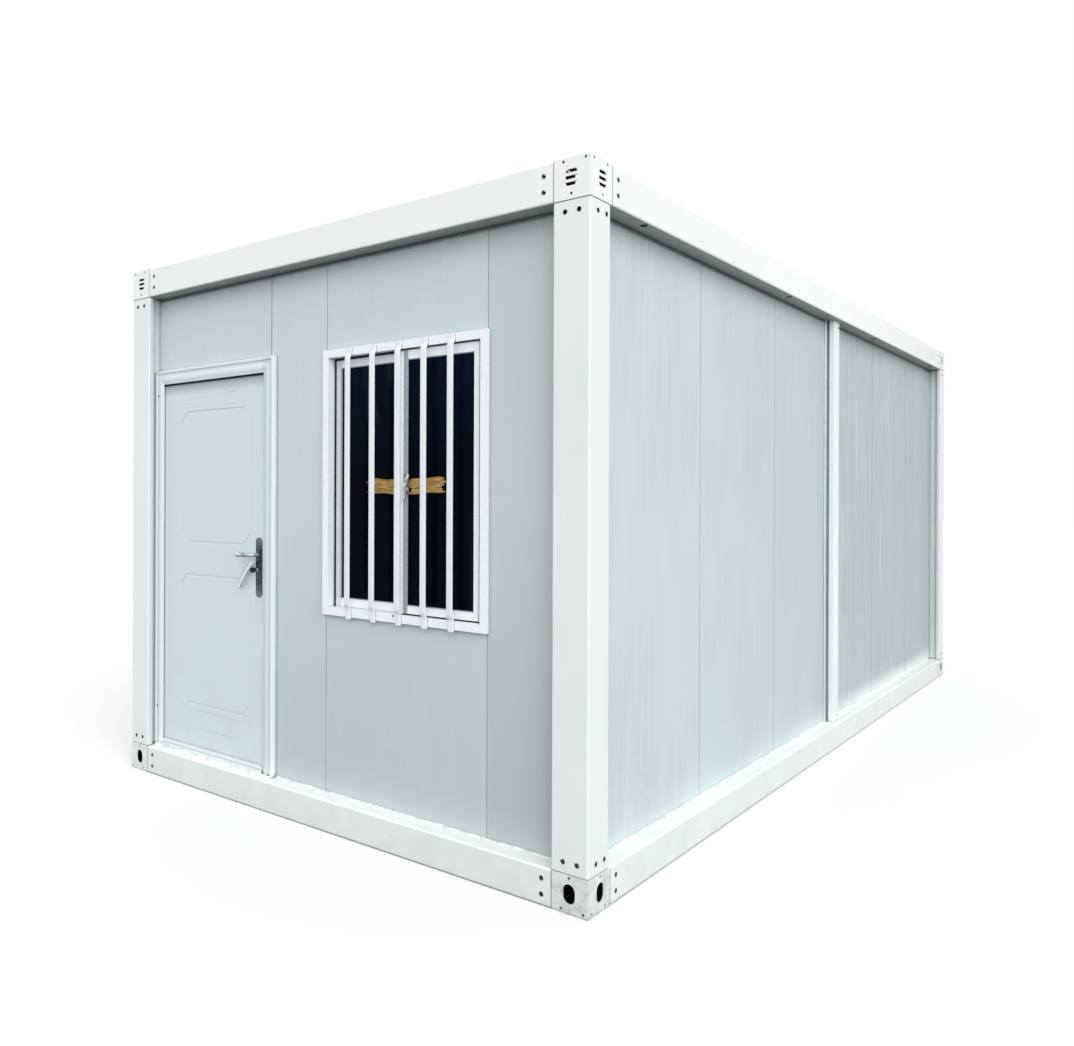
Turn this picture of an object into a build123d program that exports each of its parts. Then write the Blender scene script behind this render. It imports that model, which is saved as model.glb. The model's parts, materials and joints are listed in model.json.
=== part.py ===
from build123d import *
import os

# Flat-pack container cabin, millimetres, +Z up.
# Origin on the ground under the centre of the cabin, door and window end towards -Y.

# Overall size
cabin_width = 3000.0
cabin_length = 5950.0
cabin_height = 2800.0

# Corner fittings
fitting_side = 160.0
fitting_plate = 6.0
oval_width = 53.0
floor_oval_height = 73.0
roof_oval_height = 79.0
oval_from_end_face = 82.0
oval_from_side_face = 88.0
floor_oval_centre = 75.0
roof_oval_from_top = 74.0
louvre_slot = 13.0
louvre_slat = 11.0
louvre_slots = 3
anchor_hole = 26.0
anchor_from_faces = 80.0
spare_hole = 11.0
end_spare_first = 20.0
side_spare_first = 27.0
spare_pitch = 97.0
floor_spare_rise = 15.0
floor_spare_drop = 12.0
roof_spare_rise = 22.0
roof_spare_drop = 12.0
joint_plate_reach = 90.0
joint_plate_height = 100.0
joint_plate_thickness = 5.0

# Cold-formed frame members
frame_sheet = 3.0
bend_radius = 5.0
floor_beam_height = 146.0
floor_beam_foot = 60.0
floor_beam_lip = 18.0
roof_beam_height = 156.0
roof_beam_top_lip = 25.0
gutter_wall = 86.0
bolt_hole = 18.0
bolt_from_fitting = 45.0
bolt_spacing = 61.0
wire_hole = 22.0
wire_hole_from_face = 28.0
wire_hole_first = 464.0
wire_hole_pitch = 1687.0
wire_holes = 4

# Corner posts
post_end_face = 162.0
post_side_face = 148.0
post_return = 30.0
post_step = 27.0
post_joint = 3.0
post_plate = 4.0
post_plate_inset = 6.0
post_bolt_height = 43.0
post_bolt_end_first = 48.0
post_bolt_side_first = 56.0
post_bolt_pitch = 61.0

# Walls
wall_setback = 85.0
wall_thickness = 50.0
wall_module = 960.0
side_wall_first_seam = 1135.0
back_wall_module = 943.0
seam_gap = 1.5
tongue_depth = 10.0
tongue_width = 16.0
tongue_clearance = 0.5

# Middle posts on the long sides
mid_post_from_end = 3025.0
mid_post_width = 96.0
mid_post_cap = 27.0
mid_post_neck = 22.0
mid_post_neck_width = 52.0
mid_post_sheet = 2.0
mid_post_bend = 2.0

# Doorway and door, measured from the left side face and from the ground
door_jamb_face = 77.0
door_cover = 45.0
door_rebate_face = 57.0
doorway_right = 1110.0
door_frame_top = 2235.0
door_frame_proud = 30.0
door_frame_sheet = 2.0
door_inner_cover = 30.0
door_stop_depth = 12.0
bead_edge = 4.0
bead_width = 14.0
bead_slope = 5.0
jamb_groove_width = 17.0
jamb_groove_depth = 6.0
jamb_band_width = 15.0
leaf_recess = 17.0
leaf_thickness = 64.0
leaf_hinge_gap = 6.0
leaf_lock_gap = 8.0
leaf_head_gap = 6.0
leaf_foot_gap = 6.0
sill_height = 44.0
sill_step = 20.0
sill_nose = 4.0
leaf_groove_width = 14.0
leaf_groove_depth = 2.5
field_from_hinge_edge = 162.0
field_from_lock_edge = 120.0
field_from_foot = 234.0
field_from_head = 174.0
field_below_lever = 128.0
field_above_lever = 38.0
field_clip = 60.0

# Hinges
hinge_count = 3
hinge_first = 220.0
hinge_barrel = 16.0
hinge_knuckle = 32.0
hinge_pin = 9.0
hinge_running_gap = 0.3
hinge_plate = 4.0
hinge_plate_width = 36.0
hinge_jamb_gap = 1.0

# Lock plates and lever
lock_plate_height = 300.0
lock_plate_width = 44.0
lock_plate_thickness = 8.0
lock_from_leaf_edge = 53.0
lever_above_plate_centre = 64.0
lever_height = 1245.0
lever_rod = 18.0
lever_length = 112.0
lever_stand = 46.0
lever_clearance = 0.4
cylinder_below_lever = 75.0
cylinder_radius = 9.0
cylinder_proud = 4.0

# Window, measured from the left side face and from the ground
window_left = 1507.0
window_width = 972.0
window_foot = 986.0
window_height = 1239.0
window_proud = 20.0
window_band = 38.0
window_flange = 8.0
sash_stile = 40.0
sash_thickness = 22.0
sash_gap = 4.0
sash_lift_gap = 6.0
sash_overlap = 46.0
glass_thickness = 5.0
glass_seat = 8.0

# Floor
joist_height = 80.0
joist_width = 40.0
joist_count = 11
joist_sheet = 2.0
floor_board_thickness = 18.0
floor_cover_thickness = 2.0
base_sheet_thickness = 1.0

# Roof
purlin_height = 80.0
purlin_width = 40.0
purlin_count = 8
ceiling_thickness = 6.0
roof_sheet_thickness = 1.5
roof_sheet_drip = 15.0
roof_rib_height = 25.0
roof_rib_foot = 60.0
roof_rib_top = 26.0
roof_rib_count = 11

# Reach of a cutter past the face that it opens
cut_margin = 1.0

# Lines worked out from the sizes above
half_width = cabin_width / 2
half_length = cabin_length / 2
soffit_height = cabin_height - roof_beam_height
floor_ledge = floor_beam_height
wall_outer_x = half_width - wall_setback
wall_outer_y = half_length - wall_setback
wall_inner_x = wall_outer_x - wall_thickness
wall_inner_y = wall_outer_y - wall_thickness
clear_half_width = half_width - fitting_side
clear_half_length = half_length - fitting_side
gutter_rim = soffit_height + gutter_wall
front_plane = -wall_outer_y

# Door lines
door_left = -wall_inner_x
door_right = -half_width + doorway_right + door_cover
tread_top = floor_ledge + sill_height - sill_step
leaf_left = door_left + door_rebate_face + leaf_hinge_gap
leaf_right = door_right - door_rebate_face - leaf_lock_gap
leaf_front = front_plane - door_frame_proud + leaf_recess
leaf_back = leaf_front + leaf_thickness
leaf_low = tread_top + leaf_foot_gap
leaf_high = door_frame_top - door_rebate_face - leaf_head_gap
jamb_back = front_plane + wall_thickness + door_frame_sheet
hinge_x = leaf_left - leaf_hinge_gap / 2
hinge_y = jamb_back + hinge_jamb_gap + hinge_barrel / 2
lock_x = leaf_right - lock_from_leaf_edge
lock_plate_centre = lever_height - lever_above_plate_centre

pieces = {}


def add(name, shape):
    """Keep one named piece of the cabin."""
    pieces[name] = shape


def block(x0, x1, y0, y1, z0, z1):
    """Box between two corners."""
    return Pos((x0 + x1) / 2, (y0 + y1) / 2, (z0 + z1) / 2) * Box(x1 - x0, y1 - y0, z1 - z0)


def turn(before, after):
    """Positive where a path turns left between two unit directions."""
    return before.X * after.Y - before.Y * after.X


def folded_sheet(points, sheet, bend):
    """Section of a sheet folded along points, with its thickness to the right and an inner bend radius."""
    outer = [Vector(x, y) for x, y in points]
    ways = [(b - a).normalized() for a, b in zip(outer, outer[1:])]
    sides = [Vector(way.Y, -way.X) for way in ways]
    inner = [outer[0] + sides[0] * sheet]
    outer_radii = []
    inner_radii = []
    for i in range(1, len(ways)):
        before, after = sides[i - 1], sides[i]
        inner.append(outer[i] + (before + after) * (sheet / (1 + before.dot(after))))
        turns_left = turn(ways[i - 1], ways[i]) > 0
        outer_radii.append(bend if turns_left else bend + sheet)
        inner_radii.append(bend + sheet if turns_left else bend)
    inner.append(outer[-1] + sides[-1] * sheet)
    if bend:
        one_face = FilletPolyline(*outer, radius=outer_radii)
        other_face = FilletPolyline(*inner, radius=inner_radii)
    else:
        one_face = Polyline(*outer)
        other_face = Polyline(*inner)
    return make_face([one_face, other_face, Line(outer[0], inner[0]), Line(outer[-1], inner[-1])])


def along_x(section, x0, x1):
    """Stretch a section drawn as (depth, height) along X, with depth on world Y."""
    frame = Plane(origin=(x0, 0, 0), x_dir=(0, 1, 0), z_dir=(1, 0, 0))
    return extrude(frame * section, amount=x1 - x0, dir=(1, 0, 0))


def along_z(section, z0, z1):
    """Stretch a plan section upwards."""
    return extrude(Pos(0, 0, z0) * section, amount=z1 - z0, dir=(0, 0, 1))


def prism_y(outline, y0, y1):
    """Prism whose outline is given as (x, z), stretched along Y."""
    plane = Plane(origin=(0, y0, 0), x_dir=(1, 0, 0), z_dir=(0, -1, 0))
    face = plane * make_face(Polyline(*outline, close=True))
    return extrude(face, amount=y1 - y0, dir=(0, 1, 0))


def four_corners(stem, shape):
    """Put the front left piece at all four corners by symmetry."""
    front_right = mirror(shape, about=Plane.YZ)
    add(stem + "_front_left", shape)
    add(stem + "_front_right", front_right)
    add(stem + "_back_left", mirror(shape, about=Plane.XZ))
    add(stem + "_back_right", mirror(front_right, about=Plane.XZ))


def upright_oval(width, height):
    """Outline of an upright hole with round ends."""
    return Rot(0, 0, 90) * SlotOverall(height, width)


def oval_cut(width, height, slots):
    """Upright oval hole, or an oval crossed by level slats when slots is more than 0."""
    oval = upright_oval(width, height)
    if slots:
        pitch = louvre_slot + louvre_slat
        lowest = -(slots - 1) / 2 * pitch
        level = [Pos(0, lowest + i * pitch) * Rectangle(width, louvre_slot) for i in range(slots)]
        oval = oval & Sketch(children=level)
    return oval


def through_front(sketch, x, z):
    """Cutter through the front face of the front left fitting."""
    face = Plane(origin=(-half_width + x, -half_length - cut_margin, z), x_dir=(1, 0, 0), z_dir=(0, -1, 0))
    return extrude(face * sketch, amount=-(fitting_plate + 2 * cut_margin))


def through_side(sketch, y, z):
    """Cutter through the left face of the front left fitting."""
    face = Plane(origin=(-half_width - cut_margin, -half_length + y, z), x_dir=(0, -1, 0), z_dir=(-1, 0, 0))
    return extrude(face * sketch, amount=-(fitting_plate + 2 * cut_margin))


def beam_bolts(z_centre):
    """Bolt hole cutters through both beam ends and joint plates beside the front left fitting."""
    reach = fitting_side + bolt_from_fitting
    depth = frame_sheet + joint_plate_thickness + cut_margin
    cuts = []
    for z in (z_centre - bolt_spacing / 2, z_centre + bolt_spacing / 2):
        along_front = Pos(-half_width + reach, -half_length, z) * Rot(90, 0, 0)
        along_side = Pos(-half_width, -half_length + reach, z) * Rot(0, 90, 0)
        cuts.append(along_front * Cylinder(bolt_hole / 2, 2 * depth))
        cuts.append(along_side * Cylinder(bolt_hole / 2, 2 * depth))
    return cuts


def spare_holes(z_pair, z_single):
    """Small round holes round the ovals: a pair along the outer edge and one beside the post."""
    spare = Circle(spare_hole / 2)
    cuts = [
        through_front(spare, oval_from_end_face, z_single),
        through_side(spare, oval_from_side_face, z_single),
    ]
    for i in range(2):
        cuts.append(through_front(spare, end_spare_first + i * spare_pitch, z_pair))
        cuts.append(through_side(spare, side_spare_first + i * spare_pitch, z_pair))
    return cuts


def corner_fitting(z0, z1, oval_height, oval_centre, slots):
    """Welded plate corner: outer, bottom and top plates, open towards the beams."""
    x0, y0 = -half_width, -half_length
    x1, y1 = x0 + fitting_side, y0 + fitting_side
    plate = fitting_plate
    shell = block(x0, x1, y0, y1, z0, z1)
    shell -= block(x0 + plate, x1 + plate, y0 + plate, y1 + plate, z0 + plate, z1 - plate)
    oval = oval_cut(oval_width, oval_height, slots)
    shell -= through_front(oval, oval_from_end_face, oval_centre)
    shell -= through_side(oval, oval_from_side_face, oval_centre)
    outer_plate = z0 if z0 == 0 else z1
    hole = Pos(x0 + anchor_from_faces, y0 + anchor_from_faces, outer_plate)
    return shell - hole * Cylinder(anchor_hole / 2, 3 * plate)


def joint_plates(z_centre):
    """Plates welded to the edges of all four fittings and bolted behind the beam ends."""
    x1, y1 = -clear_half_width, -clear_half_length
    low, high = z_centre - joint_plate_height / 2, z_centre + joint_plate_height / 2
    near = frame_sheet
    far = frame_sheet + joint_plate_thickness
    bolts = beam_bolts(z_centre)
    end_plate = block(x1, x1 + joint_plate_reach, -half_length + near, -half_length + far, low, high) - bolts
    side_plate = block(-half_width + near, -half_width + far, y1, y1 + joint_plate_reach, low, high) - bolts
    left = [end_plate, side_plate]
    front = left + [mirror(plate, about=Plane.YZ) for plate in left]
    return Compound(children=front + [mirror(plate, about=Plane.XZ) for plate in front])


def floor_beam_section():
    """C profile of the floor frame, drawn as (inward, up) from the outer face."""
    points = [
        (floor_beam_foot, floor_beam_lip),
        (floor_beam_foot, 0),
        (0, 0),
        (0, floor_beam_height),
        (fitting_side, floor_beam_height),
        (fitting_side, floor_beam_height - floor_beam_lip),
    ]
    return folded_sheet(points, frame_sheet, bend_radius)


def roof_beam_section():
    """Profile of the roof frame, whose inner half is the rain gutter."""
    points = [
        (fitting_side, gutter_rim),
        (fitting_side, soffit_height),
        (0, soffit_height),
        (0, cabin_height),
        (roof_beam_top_lip, cabin_height),
    ]
    return folded_sheet(points, frame_sheet, bend_radius)


def beams(stem, section, bolt_centre):
    """Two short and two long beams between the corner fittings."""
    cuts = beam_bolts(bolt_centre)
    cuts += [mirror(cut, about=Plane.YZ) for cut in cuts]
    short = along_x(Pos(-half_length, 0) * section, -clear_half_width, clear_half_width) - cuts
    add(stem + "_front", short)
    add(stem + "_back", mirror(short, about=Plane.XZ))
    side_cuts = beam_bolts(bolt_centre)
    side_cuts += [mirror(cut, about=Plane.XZ) for cut in side_cuts]
    turned = Plane(origin=(-half_width, clear_half_length, 0), x_dir=(1, 0, 0), z_dir=(0, -1, 0))
    long_side = extrude(turned * section, amount=2 * clear_half_length) - side_cuts
    return long_side


def corner_post():
    """Folded corner post with stepped returns to both walls, and a plate at each end."""
    x0, y0 = -half_width, -half_length
    x_edge, y_edge = x0 + post_end_face, y0 + post_side_face
    x_wall, y_wall = x_edge - post_step, y_edge - post_step
    points = [
        (x0 + wall_setback, y_wall),
        (x0 + post_return, y_wall),
        (x0 + post_return, y_edge),
        (x0, y_edge),
        (x0, y0),
        (x_edge, y0),
        (x_edge, y0 + post_return),
        (x_wall, y0 + post_return),
        (x_wall, y0 + wall_setback),
    ]
    section = folded_sheet([(x, -y) for x, y in points], frame_sheet, bend_radius)
    section = Rot(180, 0, 0) * section
    low, high = floor_ledge, soffit_height
    post = along_z(section, low + post_joint, high - post_joint)
    inset = post_plate_inset
    plate = Polyline(
        (x0 + inset, y0 + inset),
        (x_edge - inset, y0 + inset),
        (x_edge - inset, y0 + post_return - inset),
        (x0 + wall_setback - inset, y0 + wall_setback - inset),
        (x0 + post_return - inset, y_edge - inset),
        (x0 + inset, y_edge - inset),
        close=True,
    )
    end_plate = make_face(plate)
    post += along_z(end_plate, low, low + post_plate)
    post += along_z(end_plate, high - post_plate, high)
    cuts = []
    for z in (low + post_bolt_height, high - post_bolt_height):
        for i in range(2):
            at_end = x0 + post_bolt_end_first + i * post_bolt_pitch
            at_side = y0 + post_bolt_side_first + i * post_bolt_pitch
            cuts.append(Pos(at_end, y0, z) * Rot(90, 0, 0) * Cylinder(bolt_hole / 2, 3 * frame_sheet))
            cuts.append(Pos(x0, at_side, z) * Rot(0, 90, 0) * Cylinder(bolt_hole / 2, 3 * frame_sheet))
    return post - cuts


def wall_panel(length, has_groove, has_tongue):
    """Plan of one sandwich panel along +X, with a grooved first edge and a tongued last edge."""
    body = Pos(length / 2, wall_thickness / 2) * Rectangle(length, wall_thickness)
    if has_groove:
        groove_width = tongue_width + 2 * tongue_clearance
        groove_depth = tongue_depth + tongue_clearance
        body -= Pos(groove_depth / 2, wall_thickness / 2) * Rectangle(groove_depth, groove_width)
    if has_tongue:
        centre = length + tongue_depth / 2
        body += Pos(centre, wall_thickness / 2) * Rectangle(tongue_depth, tongue_width)
    return body


def wall_row(seams, z0, z1, place):
    """Panels between neighbouring seams, a seam gap apart, stood up and moved to their wall."""
    last = len(seams) - 2
    row = []
    for i in range(last + 1):
        start = seams[i] + (seam_gap / 2 if i > 0 else 0)
        end = seams[i + 1] - (seam_gap / 2 if i < last else 0)
        plan = wall_panel(end - start, i > 0, i < last)
        row.append(place * Pos(start, 0) * along_z(plan, z0, z1))
    return row


def side_seams():
    """Panel joints of a long wall, from the front end of the wall."""
    length = 2 * wall_outer_y
    seams = [0.0]
    joint = side_wall_first_seam - wall_setback
    while joint < length - wall_module / 2:
        seams.append(joint)
        joint += wall_module
    seams.append(length)
    return seams


def mid_post():
    """Folded middle post of the left side: a wide cap held off the wall by a narrow neck."""
    wall = -wall_outer_x
    y = -half_length + mid_post_from_end
    half_cap, half_neck = mid_post_width / 2, mid_post_neck_width / 2
    cap_back = wall - mid_post_neck
    points = [
        (wall, y - half_neck),
        (cap_back, y - half_neck),
        (cap_back, y - half_cap),
        (cap_back - mid_post_cap, y - half_cap),
        (cap_back - mid_post_cap, y + half_cap),
        (cap_back, y + half_cap),
        (cap_back, y + half_neck),
        (wall, y + half_neck),
    ]
    section = folded_sheet([(px, -py) for px, py in points], mid_post_sheet, mid_post_bend)
    return along_z(Rot(180, 0, 0) * section, floor_ledge, soffit_height)


def jamb_section(cover_return):
    """Plan of a folded door jamb as (inward from its outer edge, out of the wall)."""
    proud = door_frame_proud
    stop = door_jamb_face
    rebate = door_rebate_face
    groove = proud - jamb_groove_depth
    groove_start = bead_width + bead_slope
    groove_end = groove_start + jamb_groove_width
    band_start = groove_end + bead_slope
    points = [
        (0, 0),
        (0, proud - bead_edge),
        (bead_edge, proud),
        (bead_width, proud),
        (groove_start, groove),
        (groove_end, groove),
        (band_start, proud),
        (band_start + jamb_band_width, proud),
        (stop, groove),
        (stop, proud - door_stop_depth),
        (rebate, proud - door_stop_depth),
        (rebate, -wall_thickness - door_frame_sheet),
        (cover_return, -wall_thickness - door_frame_sheet),
    ]
    return folded_sheet(points, door_frame_sheet, 0)


def build_frame():
    """Corner fittings, posts and beams."""
    floor_bolts = floor_beam_height / 2
    roof_bolts = cabin_height - roof_beam_height / 2
    floor_corner = corner_fitting(0, floor_beam_height, floor_oval_height, floor_oval_centre, 0)
    roof_oval = cabin_height - roof_oval_from_top
    roof_corner = corner_fitting(soffit_height, cabin_height, roof_oval_height, roof_oval, louvre_slots)
    floor_corner -= spare_holes(floor_spare_rise, floor_beam_height - floor_spare_drop)
    roof_corner -= spare_holes(cabin_height - roof_spare_drop, soffit_height + roof_spare_rise)
    four_corners("floor_corner", floor_corner)
    four_corners("roof_corner", roof_corner)
    four_corners("post", corner_post())
    add("floor_joint_plates", joint_plates(floor_bolts))
    add("roof_joint_plates", joint_plates(roof_bolts))
    floor_side = beams("floor_beam", floor_beam_section(), floor_bolts)
    add("floor_beam_left", floor_side)
    add("floor_beam_right", mirror(floor_side, about=Plane.YZ))
    roof_side = beams("roof_beam", roof_beam_section(), roof_bolts)
    for i in range(wire_holes):
        y = -half_length + wire_hole_first + i * wire_hole_pitch
        hole = Pos(-half_width + wire_hole_from_face, y, soffit_height)
        roof_side -= hole * Cylinder(wire_hole / 2, 3 * frame_sheet)
    add("roof_beam_left", roof_side)
    add("roof_beam_right", mirror(roof_side, about=Plane.YZ))


def build_floor():
    """Joists between the long floor beams, the sheet under them and the board on top."""
    board_top = floor_ledge - floor_cover_thickness
    joist_top = board_top - floor_board_thickness
    joist_low = joist_top - joist_height
    half_span = half_width - frame_sheet
    section = [
        (joist_width, joist_low),
        (0, joist_low),
        (0, joist_top),
        (joist_width, joist_top),
    ]
    channel = folded_sheet(section, joist_sheet, 0)
    pitch = 2 * clear_half_length / (joist_count + 1)
    joists = []
    for i in range(joist_count):
        y = -clear_half_length + (i + 1) * pitch - joist_width / 2
        joists.append(along_x(Pos(y, 0) * channel, -half_span, half_span))
    add("floor_joists", Compound(children=joists))
    w, n = clear_half_width, clear_half_length
    add("base_sheet", block(-w, w, -n, n, joist_low - base_sheet_thickness, joist_low))
    add("floor_board", block(-w, w, -n, n, joist_top, board_top))
    add("floor_covering", block(-w, w, -n, n, board_top, floor_ledge))


def build_roof():
    """Ceiling, purlins between the gutters and the ribbed sheet that drains into them."""
    w, n = clear_half_width, clear_half_length
    ceiling_top = soffit_height + ceiling_thickness
    add("ceiling", block(-w, w, -n, n, soffit_height, ceiling_top))
    low, high = gutter_rim - purlin_height, gutter_rim
    channel = folded_sheet([(purlin_width, low), (0, low), (0, high), (purlin_width, high)], joist_sheet, 0)
    pitch = 2 * n / (purlin_count + 1)
    purlins = []
    for i in range(purlin_count):
        y = -n + (i + 1) * pitch - purlin_width / 2
        purlins.append(along_x(Pos(y, 0) * channel, -w, w))
    add("roof_purlins", Compound(children=purlins))
    end = n + roof_sheet_drip
    rib_pitch = 2 * end / (roof_rib_count + 1)
    points = [(-end, gutter_rim)]
    for i in range(roof_rib_count):
        y = -end + (i + 1) * rib_pitch
        points.append((y - roof_rib_foot / 2, gutter_rim))
        points.append((y - roof_rib_top / 2, gutter_rim + roof_rib_height))
        points.append((y + roof_rib_top / 2, gutter_rim + roof_rib_height))
        points.append((y + roof_rib_foot / 2, gutter_rim))
    points.append((end, gutter_rim))
    section = folded_sheet(points[::-1], roof_sheet_thickness, 0)
    add("roof_sheet", along_x(section, -w - roof_sheet_drip, w + roof_sheet_drip))


def build_walls():
    """Sandwich panels of the four sides, cut round the doorway and the window."""
    left = -wall_inner_x
    doorway = -half_width + doorway_right
    window_x0 = -half_width + window_left + window_flange
    window_x1 = window_x0 + window_width - 2 * window_flange
    window_low = window_foot + window_flange
    window_high = window_foot + window_height - window_flange
    door_head = door_frame_top - door_cover
    gap = seam_gap / 2

    def panel(name, x0, x1, z0, z1):
        add(name, block(x0, x1, front_plane, front_plane + wall_thickness, z0, z1))

    panel("front_wall_over_door", left, doorway - gap, door_head, soffit_height)
    panel("front_wall_middle", doorway + gap, window_x0 - gap, floor_ledge, soffit_height)
    panel("front_wall_over_window", window_x0 + gap, window_x1 - gap, window_high, soffit_height)
    panel("front_wall_under_window", window_x0 + gap, window_x1 - gap, floor_ledge, window_low)
    panel("front_wall_right", window_x1 + gap, -left, floor_ledge, soffit_height)

    left_place = Pos(-wall_inner_x, -wall_outer_y) * Rot(0, 0, 90)
    left_wall = Compound(children=wall_row(side_seams(), floor_ledge, soffit_height, left_place))
    add("left_wall", left_wall)
    add("right_wall", mirror(left_wall, about=Plane.YZ))
    span = 2 * wall_inner_x
    edge = (span - back_wall_module) / 2
    back_seams = [0.0, edge, edge + back_wall_module, span]
    back_place = Pos(-wall_inner_x, wall_inner_y)
    add("back_wall", Compound(children=wall_row(back_seams, floor_ledge, soffit_height, back_place)))
    add("mid_post_left", mid_post())
    add("mid_post_right", mirror(mid_post(), about=Plane.YZ))


def hinge_levels():
    """Heights of the hinges' middles."""
    step = (leaf_high - leaf_low - 2 * hinge_first) / (hinge_count - 1)
    return [leaf_low + hinge_first + i * step for i in range(hinge_count)]


def hinge_barrel_at(z):
    """One knuckle on the hinge line."""
    return Pos(hinge_x, hinge_y, z) * Cylinder(hinge_barrel / 2, hinge_knuckle)


def jamb_hinge(z):
    """Fixed half of a hinge: the pin, a knuckle above and below, and their plates on the jamb."""
    half = hinge_knuckle / 2
    parts = [Pos(hinge_x, hinge_y, z) * Cylinder(hinge_pin / 2, 3 * hinge_knuckle)]
    for centre in (z - hinge_knuckle - hinge_running_gap, z + hinge_knuckle + hinge_running_gap):
        low, high = centre - half, centre + half
        parts.append(hinge_barrel_at(centre))
        plate_back = jamb_back + hinge_plate
        parts.append(block(hinge_x - hinge_plate_width, hinge_x, jamb_back, plate_back, low, high))
    return parts


def leaf_hinge(z):
    """Moving half of a hinge: the middle knuckle and its plate on the leaf."""
    low, high = z - hinge_knuckle / 2, z + hinge_knuckle / 2
    plate = block(hinge_x, hinge_x + hinge_plate_width, leaf_back, leaf_back + hinge_plate, low, high)
    return hinge_barrel_at(z) + plate


def build_door_frame():
    """Jambs and head of one folded section, mitred at the top corners, and the threshold."""
    left_plan = Rot(180, 0, 0) * jamb_section(0)
    right_plan = mirror(Rot(180, 0, 0) * jamb_section(door_inner_cover), about=Plane.YZ)
    half_span = (door_right - door_left) / 2
    top = door_frame_top
    corner = [
        (door_left - door_cover, top + door_cover),
        (door_right + door_cover, top + door_cover),
        (door_left + half_span, top - half_span),
    ]
    mitre = prism_y(corner, front_plane - wall_thickness, front_plane + 2 * wall_thickness)
    left = along_z(Pos(door_left, front_plane) * left_plan, floor_ledge, top) - mitre
    right = along_z(Pos(door_right, front_plane) * right_plan, floor_ledge, top) - mitre
    head_plane = Plane(origin=(door_left, front_plane, top), x_dir=(0, 0, -1), z_dir=(-1, 0, 0))
    head = extrude(head_plane * jamb_section(door_inner_cover), amount=2 * half_span, dir=(1, 0, 0))
    for z in hinge_levels():
        left += jamb_hinge(z)
    add("door_jamb_left", left)
    add("door_jamb_right", right)
    add("door_head", head & mitre)

    stop, rebate = door_jamb_face, door_rebate_face
    sill_front = front_plane - door_frame_proud
    stop_back = sill_front + door_stop_depth
    inner = front_plane + wall_thickness
    sill = block(door_left + stop, door_right - stop, sill_front, stop_back, floor_ledge, tread_top)
    sill += block(door_left + rebate, door_right - rebate, stop_back, inner, floor_ledge, tread_top)
    riser_top = floor_ledge + sill_height
    riser_front = sill_front + sill_nose
    sill += block(door_left + stop, door_right - stop, riser_front, stop_back, tread_top, riser_top)
    add("door_sill", sill)


def pressed_field(low, high):
    """Groove of one pressed field: a rectangle with clipped corners on the outer skin."""
    x0, x1 = leaf_left + field_from_hinge_edge, leaf_right - field_from_lock_edge
    clip = field_clip
    outline = Polyline(
        (x0 + clip, low),
        (x1 - clip, low),
        (x1, low + clip),
        (x1, high - clip),
        (x1 - clip, high),
        (x0 + clip, high),
        (x0, high - clip),
        (x0, low + clip),
        close=True,
    )
    field = make_face(outline)
    ring = field - offset(field, amount=-leaf_groove_width, kind=Kind.INTERSECTION)
    skin = Plane(origin=(0, leaf_front, 0), x_dir=(1, 0, 0), z_dir=(0, -1, 0))
    return extrude(skin * ring, amount=-leaf_groove_depth)


def build_leaf():
    """Door leaf with two pressed fields, its hinge halves and the bore for the lever's spindle."""
    leaf = block(leaf_left, leaf_right, leaf_front, leaf_back, leaf_low, leaf_high)
    leaf -= pressed_field(leaf_low + field_from_foot, lever_height - field_below_lever)
    leaf -= pressed_field(lever_height + field_above_lever, leaf_high - field_from_head)
    for z in hinge_levels():
        leaf += leaf_hinge(z)
        leaf -= Pos(hinge_x, hinge_y, z) * Cylinder(hinge_pin / 2 + hinge_running_gap, 2 * hinge_knuckle)
    spindle = Pos(lock_x, (leaf_front + leaf_back) / 2, lever_height) * Rot(90, 0, 0)
    add("door_leaf", leaf - spindle * Cylinder(lever_rod / 2 + lever_clearance, 2 * leaf_thickness))


def lock_plate(face_y, out):
    """Rounded plate on one face of the leaf, with the lever's bore and the key cylinder; out is -1 or 1."""
    thickness = lock_plate_thickness
    face = Plane(origin=(lock_x, face_y, lock_plate_centre), x_dir=(0, 0, 1), z_dir=(0, out, 0))
    plate = extrude(face * SlotOverall(lock_plate_height, lock_plate_width), amount=thickness)
    outer_face = plate.faces().sort_by(Axis.Y)[0 if out < 0 else -1]
    plate = fillet(outer_face.edges(), thickness / 2)
    bore = Pos(lock_x, face_y, lever_height) * Rot(90, 0, 0)
    plate -= bore * Cylinder(lever_rod / 2 + lever_clearance, 4 * thickness)
    key_length = thickness + cylinder_proud
    key = Pos(lock_x, face_y + out * key_length / 2, lever_height - cylinder_below_lever) * Rot(90, 0, 0)
    return plate + key * Cylinder(cylinder_radius, key_length)


def build_lock():
    """Lock plates on both faces of the leaf, and the lever: a spindle with a cranked handle at each end."""
    add("lock_plates", Compound(children=[lock_plate(leaf_front, -1), lock_plate(leaf_back, 1)]))
    outer_y = leaf_front - lock_plate_thickness - lever_stand
    inner_y = leaf_back + lock_plate_thickness + lever_stand
    spine = FilletPolyline(
        (lock_x - lever_length, outer_y, lever_height),
        (lock_x, outer_y, lever_height),
        (lock_x, inner_y, lever_height),
        (lock_x - lever_length, inner_y, lever_height),
        radius=lever_rod,
    )
    start = Plane(origin=spine @ 0, z_dir=spine % 0)
    add("door_lever", sweep(start * Circle(lever_rod / 2), path=spine))


def ring_between(x0, x1, z0, z1, band, y0, y1):
    """Rectangular frame lying in the wall, with a constant band width."""
    outer = block(x0, x1, y0, y1, z0, z1)
    return outer - block(x0 + band, x1 - band, y0 - cut_margin, y1 + cut_margin, z0 + band, z1 - band)


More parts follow.
